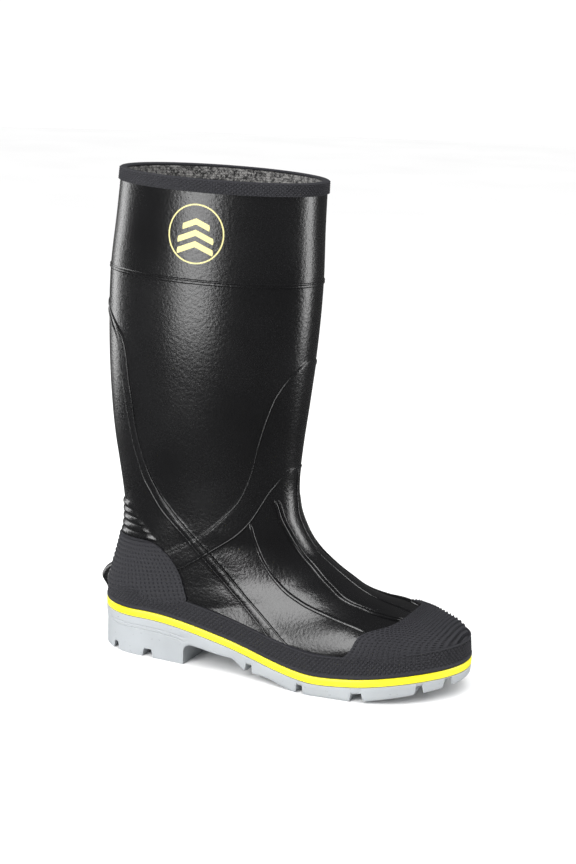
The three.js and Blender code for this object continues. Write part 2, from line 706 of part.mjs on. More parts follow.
add('leg_upper', legUpper(), blackRubber);
add('leg_lining', liningTube(TOP_EDGE, LEG_END, 7), knit);
add('top_binding', topBinding(), knurledRubber);
add('trim_line_rib', trimLine(), blackRubber);
add('ankle_upper', ankleUpper(), blackRubber);
add('ankle_lining', liningTube(LEG_END + SEAM, ANKLE_END - SEAM, 5), knit);
add('foot_upper', footUpper(), blackRubber);
add('foot_lining', footLining(), knit);
add('toe_guard', toeGuard(), knurledRubber);
add('heel_guard', heelGuard(), knurledRubber);
add('kick_off_lug', kickOffLug(), blackRubber);
add('foxing_band', foxingBand(), knurledRubber);
add('midsole', midsole(), yellowRubber);
add('outsole', outsole(), greyRubber);
add('steel_toe_cap', steelToeCap(), steel);
add('toe_cap_edge_strip', toeCapEdgeStrip(), foam);
add('heel_stiffener', heelStiffener(), fibreboard);
add('steel_shank', steelShank(), steel);
add('steel_midsole_plate', steelPlate(), steel);
add('insole_board', insoleBoard(), fibreboard);
add('insole_foam', insoleFoam(), foam);
add('insole_cover', insoleCover(), knit);

// The origin is the middle of the footprint's box, on the ground.
const box = new THREE.Box3().setFromObject(boot);
boot.position.set(-(box.min.x + box.max.x) / 2, -(box.min.y + box.max.y) / 2, 0);

export default boot;
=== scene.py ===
"""Knee-high fire boot: the moulded rubber upper, its lining, guards and sole, and the stage."""

import math

import bmesh
import bpy
import numpy as np
from mathutils import Matrix, Vector


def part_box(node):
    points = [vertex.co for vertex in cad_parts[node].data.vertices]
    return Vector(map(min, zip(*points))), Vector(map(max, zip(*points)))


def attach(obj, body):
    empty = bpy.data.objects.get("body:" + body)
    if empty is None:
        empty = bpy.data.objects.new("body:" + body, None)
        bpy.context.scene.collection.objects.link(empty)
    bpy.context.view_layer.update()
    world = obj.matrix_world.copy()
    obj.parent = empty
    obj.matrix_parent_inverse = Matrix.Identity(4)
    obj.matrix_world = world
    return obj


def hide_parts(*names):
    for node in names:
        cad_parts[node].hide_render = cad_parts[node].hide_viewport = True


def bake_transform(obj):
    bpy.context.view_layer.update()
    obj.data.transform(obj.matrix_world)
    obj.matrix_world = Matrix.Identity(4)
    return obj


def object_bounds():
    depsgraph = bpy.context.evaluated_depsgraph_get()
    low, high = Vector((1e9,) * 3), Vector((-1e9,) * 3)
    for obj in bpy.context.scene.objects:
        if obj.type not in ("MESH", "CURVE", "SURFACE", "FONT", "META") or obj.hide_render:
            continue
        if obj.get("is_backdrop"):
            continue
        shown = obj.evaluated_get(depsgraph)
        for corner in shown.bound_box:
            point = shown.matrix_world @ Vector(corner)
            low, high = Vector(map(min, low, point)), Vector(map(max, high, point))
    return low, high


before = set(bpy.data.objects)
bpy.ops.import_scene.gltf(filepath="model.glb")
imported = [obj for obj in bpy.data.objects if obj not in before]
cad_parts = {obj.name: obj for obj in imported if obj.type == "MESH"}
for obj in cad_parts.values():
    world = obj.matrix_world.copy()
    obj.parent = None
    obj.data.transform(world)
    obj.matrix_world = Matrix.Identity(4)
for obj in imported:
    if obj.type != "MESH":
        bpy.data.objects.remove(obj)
CAD_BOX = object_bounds()

bl_info = {
    "name": "Fire boot",
    "version": (1, 0, 0),
    "blender": (4, 5, 0),
    "location": "View3D > Sidebar > Fire boot",
    "description": "Builds the rubber boot's outer pieces, lining, sole and stage round its CAD frame",
    "category": "Object",
}

# ---- Sizes shared with the CAD part, in millimetres ----

SOLE_LENGTH = 306.0
BALL_WIDTH = 113.0
WAIST_WIDTH = 73.0
HEEL_WIDTH = 82.0
HEEL_RISE = 35.0
BALL_RISE = 12.8
TOE_SPRING = 10.7
BOOT_HEIGHT = 385.0
TOP_LENGTH = 166.0
TOP_WIDTH = 118.0
CALF_LENGTH = 175.0
CALF_WIDTH = 116.0
ANKLE_WIDTH = 84.0
TOP_SLOPE = 0.02
UPPER_WALL = 2.4
SOCK_BOTTOM = 1.6
LINING_WALL = 1.2
CAP_WALL = 1.6
CAP_EDGE_WIDTH = 8.0
STIFFENER_WALL = 1.4
FOOT_ROOM = 0.4
GAP = 0.3
SEAT = 0.027 * (HEEL_RISE - BALL_RISE)
MIDSOLE_THICKNESS = 6.0
FOXING_HEIGHT = 17.0
FOXING_WALL = 3.5
GUARD_WALL = 1.8
BINDING_HEIGHT = 10.0
BINDING_WALL = 1.5
TRIM_DROP = 76.7
ARCH_HEIGHT = 17.0
TREAD_DEPTH = 6.5
TOP_GIRTH = 466.0       # round the outside of the top edge
LINING_GIRTH = 460.0
SOLE_PERIMETER = 742.0
HEEL_CENTRE, WAIST, BALL, TOE_CENTRE = 45.0, 120.0, 205.0, 235.0
BREAST, ARCH_FRONT = 87.0, 128.0
MM = 0.001

_outside_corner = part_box("foxing_band")[0]
_leg_low, _leg_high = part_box("leg_upper")
ORIGIN = np.array([_outside_corner.x, (_leg_low.y + _leg_high.y) / 2, 0.0])


def smooth(value, low, high):
    share = np.clip((np.asarray(value, float) - low) / (high - low), 0, 1)
    return share * share * (3 - 2 * share)


def mix(low, high, share):
    return low + (high - low) * share


def lengths_along(path):
    """Length along a path of points, from its start to each point."""
    return np.concatenate([[0], np.cumsum(np.linalg.norm(np.diff(path, axis=0), axis=1))])


def slopes_through(places, values):
    """Slopes, at each place, of a smooth curve through the values."""
    span = np.diff(places)[:, None]
    chord = np.diff(values, axis=0) / span
    middle = (chord[:-1] * span[1:] + chord[1:] * span[:-1]) / (span[:-1] + span[1:])
    return np.vstack([chord[:1], middle, chord[-1:]])


def curve_at(places, values, slopes, at):
    i = np.clip(np.searchsorted(places, at) - 1, 0, len(places) - 2)
    span = (places[i + 1] - places[i])[..., None]
    t = (at - places[i])[..., None] / span
    return (
        values[i] * (1 + 2 * t) * (1 - t) ** 2
        + slopes[i] * span * t * (1 - t) ** 2
        + values[i + 1] * t * t * (3 - 2 * t)
        + slopes[i + 1] * span * t * t * (t - 1)
    )


def curve_through(knots, spacing):
    """A smooth curve through points, as points about one spacing apart."""
    knots = np.array(knots, float)
    length = lengths_along(knots)
    at = np.linspace(0, length[-1], max(8, int(length[-1] / spacing)))
    return curve_at(length, knots, slopes_through(length, knots), at)


# ---- The sole's outline and levels ----


def side_width(x, inset):
    heel, waist, ball = HEEL_WIDTH / 2, WAIST_WIDTH / 2, BALL_WIDTH / 2
    return (
        heel
        + (waist - heel) * smooth(x, HEEL_CENTRE, WAIST)
        + (ball - waist) * smooth(x, WAIST, BALL)
        - inset
    )


def half_breadth(x, inset):
    behind = (HEEL_CENTRE - x) / (HEEL_CENTRE - inset)
    ahead = (x - TOE_CENTRE) / (SOLE_LENGTH - TOE_CENTRE - inset)
    run = np.clip(np.maximum(behind, ahead), 0, 1)
    return side_width(x, inset) * np.sqrt(1 - run * run)


def mid_line(x):
    return (
        -6.5 * smooth(x, 45, 120)
        + 7.5 * smooth(x, 120, 200)
        + 10 * np.maximum(0, (x - 200) / 100)
    )


def sole_line(x):
    fall = (HEEL_RISE - BALL_RISE) * smooth(x, 50, 212)
    return HEEL_RISE - fall + TOE_SPRING * smooth(x, 205, 315)


def midsole_top(x):
    return sole_line(x) + MIDSOLE_THICKNESS / 2


def midsole_bottom(x):
    return sole_line(x) - MIDSOLE_THICKNESS / 2


# ---- The upper's surface ----

SHAFT_SECTIONS = [
    (1, 4.7), (0.86, 2.6), (0.69, 0.2), (0.5, -1.5), (0.31, -3.1), (0.15, -3.4), (0.05, -2.2),
]
FOOT_SECTIONS = [
    (162, 116.2, 12.3, 93, 0, 0, 0, 2, 2.1),
    (164, 103.5, 15, 79, 0, -1, -0.1, 2.1, 2.2),
    (168.5, 94.8, 15.4, 66, 0.05, -1, -0.2, 2.1, 2.2),
    (174.5, 86.7, 13.5, 53, 0.15, -1, -0.3, 2.1, 2.2),
    (182, 79.2, 10.5, 40, 0.35, -0.5, -0.35, 2.2, 2.25),
    (191, 73.5, 7.5, 26, 0.6, 0, -0.35, 2.25, 2.5),
    (201.5, 67.7, 5.5, 12, 1, 1, -0.35, 2.4, 2.8),
    (213.5, 61.6, 9, -4, 1, 0, -0.25, 2.75, 3),
    (227, 54.9, 45, -4, 1, -0.5, -0.35, 3, 3),
    (240, 49, 95, -4, 1, -1, -0.3, 3, 3),
    (251, 43, 150, -4, 1, -3, -0.25, 3, 3),
    (262, 37.5, 205, -4, 1, 0, -0.15, 2.8, 3),
    (272, 34.5, 243, -4, 1, -0.5, -0.25, 2.4, 2.6),
    (282, 31, 268, -4, 1, 0, -0.4, 2.2, 3.2),
    (290.5, 27, 286, -3, 1, 0, -0.35, 2.2, 3),
    (297.5, 22, 296.3, 0, 1, 0, -0.2, 2.1, 2.6),
    (301.5, 16.5, 301.2, 5, 1, 0, 0, 2, 2),
    (302.5, 11, 302.5, 11, 1, 0, 0, 2, 2),
]
FULLEST = 0.66


def shaft_size(share, ankle, calf, top):
    if share > FULLEST:
        return mix(calf, top, smooth(share, FULLEST, 1))
    return mix(ankle, calf, math.sin(math.pi / 2 * share / FULLEST))


def section_rows():
    front_x, front_rise, back_x = FOOT_SECTIONS[0][:3]
    middle, half_length = (front_x + back_x) / 2, (front_x - back_x) / 2
    ankle_height = midsole_top(front_x) + front_rise
    found = []
    for share, forward in SHAFT_SECTIONS:
        reach = shaft_size(share, half_length, CALF_LENGTH / 2, TOP_LENGTH / 2)
        width = shaft_size(share, ANKLE_WIDTH / 2, CALF_WIDTH / 2, TOP_WIDTH / 2)
        level = mix(ankle_height, BOOT_HEIGHT, share)
        tilt = TOP_SLOPE * reach * share
        centre = middle + forward
        found.append(
            (centre + reach, level - tilt, centre - reach, level + tilt, width, 0, 0, 2, 2)
        )
    for fx, f_rise, bx, b_rise, by_sole, added, widest, f_power, b_power in FOOT_SECTIONS:
        wide_x = mix(bx, fx, (widest + 1) / 2)
        sole = half_breadth(wide_x, FOXING_WALL)
        width = mix(ANKLE_WIDTH / 2, sole, by_sole) + (added if sole > 0 else 0)
        found.append((
            fx, midsole_top(fx) + f_rise, bx, midsole_top(bx) + b_rise,
            max(0, width), by_sole * mid_line(wide_x), widest, f_power, b_power,
        ))
    return np.array(found, float)


ROWS = section_rows()
_front = np.hypot(np.diff(ROWS[:, 0]), np.diff(ROWS[:, 1]))
_back = np.hypot(np.diff(ROWS[:, 2]), np.diff(ROWS[:, 3]))
PLACES = np.concatenate([[0], np.cumsum((_front + _back) / 2)])
TOE_END = PLACES[-1]
SLOPES = slopes_through(PLACES, ROWS)


def section(place):
    return curve_at(PLACES, ROWS, SLOPES, np.clip(place, 0, TOE_END))


def surface(place, angle):
    """Points of the upper, by place down the boot and angle from the instep by the little-toe side."""
    place, angle = np.broadcast_arrays(np.asarray(place, float), np.asarray(angle, float))
    fx, fz, bx, bz, half, offset, widest, f_power, b_power = np.moveaxis(section(place), -1, 0)
    cos, sin = np.cos(angle), np.sin(angle)
    power = np.where(cos >= 0, f_power, b_power)
    round_cos = np.abs(cos) ** (2 / power)
    round_sin = np.sign(sin) * np.abs(sin) ** (2 / power)
    along = np.where(
        cos >= 0, widest + (1 - widest) * round_cos, widest - (1 + widest) * round_cos
    )
    share = (along + 1) / 2
    return np.stack([mix(bx, fx, share), offset - half * round_sin, mix(bz, fz, share)], -1)


def outward(place, angle):
    place, angle = np.broadcast_arrays(np.asarray(place, float), np.asarray(angle, float))
    step, turn = 0.8, 0.03
    down = surface(place + step, angle) - surface(place - step, angle)
    across = surface(place, angle + turn) - surface(place, angle - turn)
    normal = np.cross(across, down)
    length = np.linalg.norm(normal, axis=-1, keepdims=True)
    nose = (place[..., None] > TOE_END - 1e-6) | (length < 1e-9)
    return np.where(nose, np.array([1.0, 0, 0]), normal / np.maximum(length, 1e-9))


def skin(place, angle, distance, floor=None):
    distance = np.asarray(distance, float)[..., None]
    points = surface(place, angle) + outward(place, angle) * distance
    if floor:
        points[..., 2] = np.maximum(points[..., 2], floor(points[..., 0]))
    return points


def foot_place(index):
    at = len(SHAFT_SECTIONS) + int(index)
    return mix(PLACES[at], PLACES[min(at + 1, len(PLACES) - 1)], index % 1)


def arc_scale(place, angle):
    """Millimetres along the surface for one radian of angle."""
    turn = 0.02
    gap = surface(place, angle + turn) - surface(place, angle - turn)
    return np.linalg.norm(gap, axis=-1) / (2 * turn)


# ---- Layers under the foot ----


def shell_floor(x):
    return midsole_top(x) + SEAT


def shell_inside(x):
    return shell_floor(x) + SOCK_BOTTOM


def lining_floor(x):
    shank, plate, board = 1.2, 1.0, 1.6
    return shell_inside(x) + SEAT + shank + GAP + plate + GAP + board + SEAT


def lining_inside(x):
    return lining_floor(x) + LINING_WALL


CAP_START = foot_place(10.5) - CAP_EDGE_WIDTH


def lining_depth(place, angle):
    """How far the lining lies inside the surface, with room for the toe cap and heel stiffener."""
    cap = (CAP_WALL + GAP) * smooth(place, CAP_START - 9, CAP_START - 0.5)
    below_ankle = smooth(place, foot_place(3.2), foot_place(3.9))
    heel = below_ankle * (1 - smooth(place, foot_place(8), foot_place(9)))
    behind = smooth(-np.cos(angle), 0.1, 0.45)
    room = FOOT_ROOM * smooth(place, foot_place(3), foot_place(6))
    stiffener = (STIFFENER_WALL + GAP) * heel * behind
    return UPPER_WALL + GAP + room + cap + stiffener


# ---- Moulded lines of the upper: (place, degrees) from one end to the other ----


def seen_from_side(*points):
    """(place, degrees) along a curve on the side of the foot, given by points (x, height)."""
    target = curve_through(points, 5.0)
    down, turned = np.meshgrid(
        np.arange(180, TOE_END - 30, 2.0), np.radians(np.arange(15, 150, 2.0)), indexing="ij"
    )
    seen = surface(down, turned)[..., (0, 2)]
    found = []
    for point in target:
        nearest = np.linalg.norm(seen - point, axis=-1).argmin()
        s, a = down.flat[nearest], turned.flat[nearest]
        for _ in range(8):
            here = surface(s, a)[[0, 2]]
            by_place = (surface(s + 0.5, a) - surface(s - 0.5, a))[[0, 2]]
            by_angle = (surface(s, a + 0.01) - surface(s, a - 0.01))[[0, 2]] / 0.02
            move = np.linalg.lstsq(np.stack([by_place, by_angle], -1), point - here, rcond=None)[0]
            s, a = s + np.clip(move[0], -3, 3), a + np.clip(move[1], -0.06, 0.06)
        found.append((float(s), math.degrees(a)))
    return found


SIDE_BAND_FRONT = [
    (103, 180), (105, 165), (112, 149), (127, 132), (166, 124), (207, 120), (238, 113),
    *seen_from_side((67, 131), (80, 118), (110, 90), (140, 62), (176, 36), (184, 31)),
]
SIDE_BAND_REAR = [
    (109, 180), (111, 165), (116, 152), (126, 139), (163, 131), (195, 127), (223, 123),
    *seen_from_side((50, 143), (64, 125), (83, 108), (103, 88), (130, 63), (158, 40), (166, 34)),
]
STRAP_TOP = [
    (136, 0), (139, 12), (148, 23), (162, 32), (182, 38), (202, 42), (228, 47), (250, 56),
    (264, 66), (282, 77), (295, 87), (306, 97),
]
STRAP_BOTTOM = [
    (222, 0), (224, 14), (239, 31), (253, 40), (267, 49), (282, 60), (297, 73), (310, 84), (318, 93),
]
VAMP_OUTER = seen_from_side(
    (137, 121), (142, 105), (151, 89), (165, 75), (185, 65), (210, 59), (234, 55), (243, 53)
)
VAMP_INNER = [
    (249, 29), (263, 25), (285, 21), (309, 20), (335, 24), (358, 28), (400, 27), (440, 20), (466, 15),
]
VAMP_CENTRE = [(224, 0), (300, 0), (380, 0), (467, 0)]
ACHILLES_TOP, ACHILLES_PITCH, ACHILLES_COUNT = 261.5, 5.2, 5
ACHILLES_END = ACHILLES_TOP + ACHILLES_PITCH * ACHILLES_COUNT
ACHILLES_REACH = (136, 98)  # degrees from the front at which the first and the last rib end


def sampled(line, spacing=1.2):
    """Place and angle (radians) along a smooth curve through the line's points."""
    knots = np.array(line, float)
    chords = lengths_along(surface(knots[:, 0], np.radians(knots[:, 1])))
    steps = max(8, int(chords[-1] / spacing))
    fine = curve_through(knots, lengths_along(knots)[-1] / (8 * steps))
    length = lengths_along(surface(fine[:, 0], np.radians(fine[:, 1])))
    at = np.linspace(0, length[-1], steps)
    return np.interp(at, length, fine[:, 0]), np.radians(np.interp(at, length, fine[:, 1]))


def beyond_angle(line, place, angle, scale):
    """How far, along the surface, a point lies on the greater-angle side of a line."""
    at, turned = sampled(line)
    level = np.interp(place, at, turned)
    lean = np.interp(place, at, np.gradient(turned, at))
    return scale * (angle - level) / np.sqrt(1 + (scale * lean) ** 2)


def below_line(line, place, angle, scale):
    """How far, along the surface, a point lies further down the boot than a line."""
    at, turned = sampled(line)
    level = np.interp(angle, turned, at)
    lean = np.interp(angle, turned, np.gradient(at, turned))
    return (place - level) / np.sqrt(1 + (lean / scale) ** 2)


def relief(place, angle, shape):
    """Height of the moulded panels over the plain surface, in millimetres."""
    turn = np.abs((angle + np.pi) % (2 * np.pi) - np.pi)
    scale = np.maximum(arc_scale(place, turn), 1.0)
    edge = 0.9
    in_front = beyond_angle(SIDE_BAND_FRONT[2:], place, turn, scale)
    behind = -beyond_angle(SIDE_BAND_REAR[2:], place, turn, scale)
    band = smooth(np.minimum(in_front, behind), -edge, edge)
    band = band * smooth(place, 114, 128) * (1 - smooth(place, 425, 440))
    under_top = below_line(STRAP_TOP, place, turn, scale)
    over_bottom = -below_line(STRAP_BOTTOM, place, turn, scale)
    strap = smooth(np.minimum(under_top, over_bottom), -edge, edge)
    strap = strap * (1 - smooth(turn, math.radians(90), math.radians(100)))
    down_vamp = smooth(below_line(STRAP_BOTTOM, place, turn, scale), -edge, edge)
    inner = smooth(-beyond_angle(VAMP_INNER, place, turn, scale), -edge, edge)
    outer = smooth(-beyond_angle(VAMP_OUTER, place, turn, scale), -edge, edge)
    vamp = down_vamp * (1 - smooth(place, 462, 470)) * (0.6 * inner + 0.4 * outer)
    ends = np.interp(place, [ACHILLES_TOP, ACHILLES_END], np.radians(ACHILLES_REACH))
    rib = np.abs(np.sin(np.pi * (place - ACHILLES_TOP) / ACHILLES_PITCH)) ** 0.55
    rib = rib * smooth(turn - ends, -0.02, 0.12)
    rib = rib * ((place > ACHILLES_TOP) & (place < ACHILLES_END))
    return shape.panel_height / MM * (band + 0.6 * strap + vamp) + shape.rib_height / MM * rib


# ---- Meshes from grids of points ----


def lattice(points, wrap_rows=False, wrap_columns=False, start=0):
    """Corner numbers of the quads of a grid of points."""
    rows, columns = points.shape[:2]
    i, j = np.meshgrid(
        np.arange(rows if wrap_rows else rows - 1),
        np.arange(columns if wrap_columns else columns - 1),
        indexing="ij",
    )
    below, right = (i + 1) % rows, (j + 1) % columns
    quads = np.stack(
        [i * columns + j, below * columns + j, below * columns + right, i * columns + right], -1
    )
    return quads.reshape(-1, 4) + start


def level_triangles(quads, height):
    """Each quad cut along the diagonal that keeps its level, valleys first."""
    h = height.reshape(-1)[quads]
    first = np.abs(h[:, 0] - h[:, 2]) + 1e-3 * (h[:, 0] + h[:, 2])
    second = np.abs(h[:, 1] - h[:, 3]) + 1e-3 * (h[:, 1] + h[:, 3])
    along = (first <= second)[:, None]
    one = np.where(along, quads[:, [0, 1, 2]], quads[:, [0, 1, 3]])
    two = np.where(along, quads[:, [0, 2, 3]], quads[:, [1, 2, 3]])
    return np.vstack([one, two])


class Builder:
    """Collects grids of points, in millimetres, into one mesh."""

    def __init__(self):
        self.points, self.faces, self.heights, self.uvs, self.count = [], [], [], [], 0

    def add(self, points, wrap_rows=False, wrap_columns=False, height=None, uv=None):
        quads = lattice(points, wrap_rows, wrap_columns, self.count)
        flat = points.reshape(-1, 3)
        level = np.zeros(len(flat)) if height is None else height.reshape(-1)
        if height is None:
            self.faces += quads.tolist()
        else:
            self.faces += (level_triangles(quads - self.count, level) + self.count).tolist()
        self.points.append(flat)
        self.heights.append(level)
        self.uvs.append(np.zeros((len(flat), 2)) if uv is None else uv.reshape(-1, 2))
        self.count += len(flat)

    def finish(self, name, material, crease=40.0):
        points = np.vstack(self.points) * MM + ORIGIN
        mesh = bpy.data.meshes.new(name)
        mesh.from_pydata(points.tolist(), [], self.faces)
        level = mesh.attributes.new("stud_height", "FLOAT", "POINT")
        level.data.foreach_set("value", np.concatenate(self.heights).astype(np.float32))
        uv = mesh.uv_layers.new(name="wales")
        corner = np.empty(len(mesh.loops), np.int32)
        mesh.loops.foreach_get("vertex_index", corner)
        uv.data.foreach_set("uv", np.vstack(self.uvs)[corner].astype(np.float32).reshape(-1))
        bm = bmesh.new()
        bm.from_mesh(mesh)
        bmesh.ops.remove_doubles(bm, verts=bm.verts, dist=2e-6)
        bmesh.ops.dissolve_degenerate(bm, edges=bm.edges, dist=1e-7)
        bmesh.ops.recalc_face_normals(bm, faces=bm.faces)
        bm.to_mesh(mesh)
        bm.free()
        mesh.shade_smooth()
        if crease < 180:
            mesh.set_sharp_from_angle(angle=math.radians(crease))
        mesh.materials.append(material)
        made = bpy.data.objects.new(name, mesh)
        bpy.context.scene.collection.objects.link(made)
        return made


# ---- Materials ----


class Finish:
    """A new material and short calls for its nodes."""

    def __init__(self, name):
        self.material = bpy.data.materials.new(name)
        self.material.use_nodes = True
        self.nodes, self.links = self.material.node_tree.nodes, self.material.node_tree.links
        self.shader = self.nodes["Principled BSDF"]
        self.place = self.nodes.new("ShaderNodeTexCoord").outputs["Object"]

    def give(self, socket, value):
        if isinstance(value, bpy.types.NodeSocket):
            self.links.new(value, socket)
        else:
            socket.default_value = value

    def node(self, kind, **inputs):
        made = self.nodes.new("ShaderNode" + kind)
        for name, value in inputs.items():
            self.give(made.inputs[name.replace("_", " ")], value)
        return made

    def noise(self, scale, detail=3.0, roughness=0.55, distortion=0.0, vector=None):
        return self.node(
            "TexNoise", Vector=vector or self.place, Scale=scale, Detail=detail,
            Roughness=roughness, Distortion=distortion,
        ).outputs["Fac"]

    def cells(self, scale):
        made = self.nodes.new("ShaderNodeTexVoronoi")
        made.feature = "SMOOTH_F1"
        self.give(made.inputs["Vector"], self.place)
        made.inputs["Scale"].default_value = scale
        made.inputs["Smoothness"].default_value = 0.6
        return made.outputs["Distance"]

    def math(self, operation, *values):
        made = self.nodes.new("ShaderNodeMath")
        made.operation = operation
        for socket, value in zip(made.inputs, values):
            self.give(socket, value)
        return made.outputs[0]

    def plus(self, one, two):
        return self.math("ADD", one, two)

    def times(self, one, two):
        return self.math("MULTIPLY", one, two)

    def ramp(self, value, low, high, start=0.3, end=0.7):
        """value stretched so that its range from start to end runs from low to high."""
        return self.node(
            "MapRange", Value=value, From_Min=start, From_Max=end, To_Min=low, To_Max=high
        ).outputs["Result"]

    def blend(self, share, dark, light):
        made = self.nodes.new("ShaderNodeMix")
        made.data_type = "RGBA"
        self.give(made.inputs["Factor"], share)
        for socket, value in zip(made.inputs[6:8], (dark, light)):
            linked = isinstance(value, bpy.types.NodeSocket)
            self.give(socket, value if linked else (*value, 1))
        return made.outputs[2]

    def bump(self, height, distance, strength, under=None):
        made = self.node("Bump", Height=height, Distance=distance, Strength=strength)
        if under:
            self.give(made.inputs["Normal"], under)
        return made.outputs["Normal"]

    def attribute(self, name):
        made = self.nodes.new("ShaderNodeAttribute")
        made.attribute_name = name
        return made.outputs["Fac"]

    def connect(self, colour, roughness, normal, metallic=0.0, specular=0.5):
        """The finished material."""
        for name, value in (
            ("Base Color", colour), ("Roughness", roughness), ("Normal", normal),
            ("Metallic", metallic), ("Specular IOR Level", specular),
        ):
            self.give(self.shader.inputs[name], value)
        return self.material


def made_once(build):
    """A finish is made the first time that it's asked for."""
    def get(*values):
        found = bpy.data.materials.get(build.__name__)
        return found or build(*values)
    return get


def scaled(colour, factor):
    return tuple(min(1.0, channel * factor) for channel in colour)


@made_once
def moulded_rubber(colours):
    f = Finish("moulded_rubber")
    ripple = f.noise(430, 2, 0.5)
    pores = f.noise(900, 2, 0.5)
    drift = f.noise(14, 2, 0.5)
    black = f.blend(f.ramp(drift, 0, 1), scaled(colours.rubber, 0.8), scaled(colours.rubber, 1.3))
    rough = f.plus(f.ramp(drift, 0.2, 0.27), f.ramp(pores, 0.0, 0.05))
    normal = f.bump(ripple, 0.0005, colours.ripple)
    normal = f.bump(pores, 0.00012, 0.4, normal)
    return f.connect(black, rough, normal)


@made_once
def knurled_rubber(colours):
    f = Finish("knurled_rubber")
    grit, drift, level = f.noise(1500, 3, 0.6), f.noise(30, 3, 0.6), f.attribute("stud_height")
    # Painted light: stud tops are lightened to sixty times the rubber, partly wear and partly a painted
    # highlight, and the valleys between them are darkened to a tenth of it as painted shade.
    wear_and_painted_light = f.times(f.math("POWER", level, 3.0), f.ramp(drift, 0.5, 1.0))
    colour = f.blend(wear_and_painted_light, scaled(colours.rubber, 0.1), scaled(colours.rubber, 60.0))
    rough = f.plus(f.ramp(drift, 0.2, 0.28), f.ramp(grit, 0.0, 0.06))
    return f.connect(colour, rough, f.bump(grit, 0.00006, 0.5), specular=0.55)


@made_once
def stripe_rubber(colours):
    f = Finish("stripe_rubber")
    drift, grit = f.noise(24, 3, 0.5), f.noise(1300, 2, 0.5)
    colour = f.blend(f.ramp(drift, 0, 1), scaled(colours.stripe, 0.93), colours.stripe)
    f.shader.inputs["Subsurface Weight"].default_value = 0.08
    f.shader.inputs["Subsurface Radius"].default_value = (0.002, 0.0015, 0.0005)
    return f.connect(colour, f.ramp(drift, 0.36, 0.48), f.bump(grit, 0.00008, 0.4))


@made_once
def sole_rubber(colours):
    f = Finish("sole_rubber")
    drift, grit, specks = f.noise(18, 4, 0.6), f.noise(1100, 3, 0.6), f.noise(420, 2, 0.4)
    colour = f.blend(f.ramp(drift, 0, 1), scaled(colours.sole, 0.93), scaled(colours.sole, 1.05))
    colour = f.blend(f.math("GREATER_THAN", specks, 0.71), colour, scaled(colours.sole, 0.75))
    rough = f.ramp(drift, 0.42, 0.56)
    return f.connect(colour, rough, f.bump(grit, 0.00012, 0.5))


@made_once
def speckled_knit(colours):
    """Plain knit: rows of V-shaped stitches, in light and dark yarn."""
    f = Finish("speckled_knit")
    uv = f.nodes.new("ShaderNodeUVMap")
    uv.uv_map = "wales"
    split = f.node("SeparateXYZ", Vector=uv.outputs["UV"])
    across, down = split.outputs[0], split.outputs[1]
    wobble = f.times(f.noise(320, 2, 0.5), 0.5)
    wale = f.math("FRACT", f.plus(across, wobble))
    lean = f.math("ABSOLUTE", f.math("SUBTRACT", wale, 0.5))
    drop = f.math("SUBTRACT", down, f.times(lean, 0.9))
    course = f.math("FRACT", f.plus(drop, wobble))
    along = f.math("SINE", f.times(course, math.pi))
    over = f.math("SINE", f.times(f.times(lean, 2.0), math.pi))
    yarn = f.math("POWER", f.math("MAXIMUM", f.times(along, over), 0.0), 0.6)
    flecks = f.noise(430, 4, 0.75)
    blotch = f.noise(150, 3, 0.6)
    light = f.plus(f.times(flecks, 0.75), f.times(blotch, 0.25))
    colour = f.blend(f.ramp(light, 0.0, 1.0, 0.44, 0.56), colours.knit_dark, colours.knit_light)
    shade = f.plus(f.times(yarn, 0.6), 0.4)
    deep = f.blend(shade, (0.012, 0.012, 0.013), colour)
    f.shader.inputs["Sheen Weight"].default_value = 0.25
    f.shader.inputs["Sheen Roughness"].default_value = 0.5
    normal = f.bump(yarn, 0.0006, 0.8)
    return f.connect(deep, f.ramp(flecks, 0.85, 0.95), f.bump(flecks, 0.0003, 0.6, normal), specular=0.2)


@made_once
def printed_mark(colours):
    f = Finish("printed_mark")
    wear_and_painted_light = f.noise(700, 3, 0.7)
    colour = f.blend(f.ramp(wear_and_painted_light, 0, 1), scaled(colours.mark, 0.86), colours.mark)
    return f.connect(colour, f.ramp(wear_and_painted_light, 0.35, 0.5), f.bump(wear_and_painted_light, 0.00004, 0.4))


@made_once
def brushed_steel(colours):
    f = Finish("brushed_steel")
    scratch = f.node("Mapping", Vector=f.place, Scale=(60, 1400, 1400)).outputs[0]
    line, drift = f.noise(1, 3, 0.6, vector=scratch), f.noise(25, 3, 0.6)
    colour = f.blend(f.ramp(drift, 0, 1), (0.42, 0.43, 0.45), (0.56, 0.57, 0.58))
    return f.connect(colour, f.ramp(line, 0.28, 0.42), f.bump(line, 0.00003, 0.5), metallic=1.0)


@made_once
def pressed_fibreboard(colours):
    f = Finish("pressed_fibreboard")
    strands = f.node("Mapping", Vector=f.place, Scale=(260, 1700, 900)).outputs[0]
    fibre, drift = f.noise(1, 5, 0.7, 1.0, vector=strands), f.noise(60, 3, 0.6)
    colour = f.blend(f.ramp(fibre, 0, 1), (0.16, 0.095, 0.055), (0.36, 0.245, 0.15))
    return f.connect(colour, f.ramp(drift, 0.78, 0.9), f.bump(fibre, 0.0002, 0.6), specular=0.3)


@made_once
def cellular_foam(colours):
    f = Finish("cellular_foam")
    cell, drift = f.cells(1100), f.noise(40, 3, 0.6)
    colour = f.blend(f.ramp(drift, 0, 1), (0.05, 0.052, 0.056), (0.085, 0.088, 0.095))
    return f.connect(colour, f.ramp(drift, 0.8, 0.92), f.bump(cell, 0.0004, 0.7), specular=0.25)


@made_once
def moulded_stiffener(colours):
    f = Finish("moulded_stiffener")
    grain, drift = f.noise(800, 4, 0.65), f.noise(35, 3, 0.6)
    colour = f.blend(f.ramp(drift, 0, 1), (0.028, 0.028, 0.03), (0.05, 0.05, 0.052))
    return f.connect(colour, f.ramp(drift, 0.5, 0.62), f.bump(grain, 0.00015, 0.5))


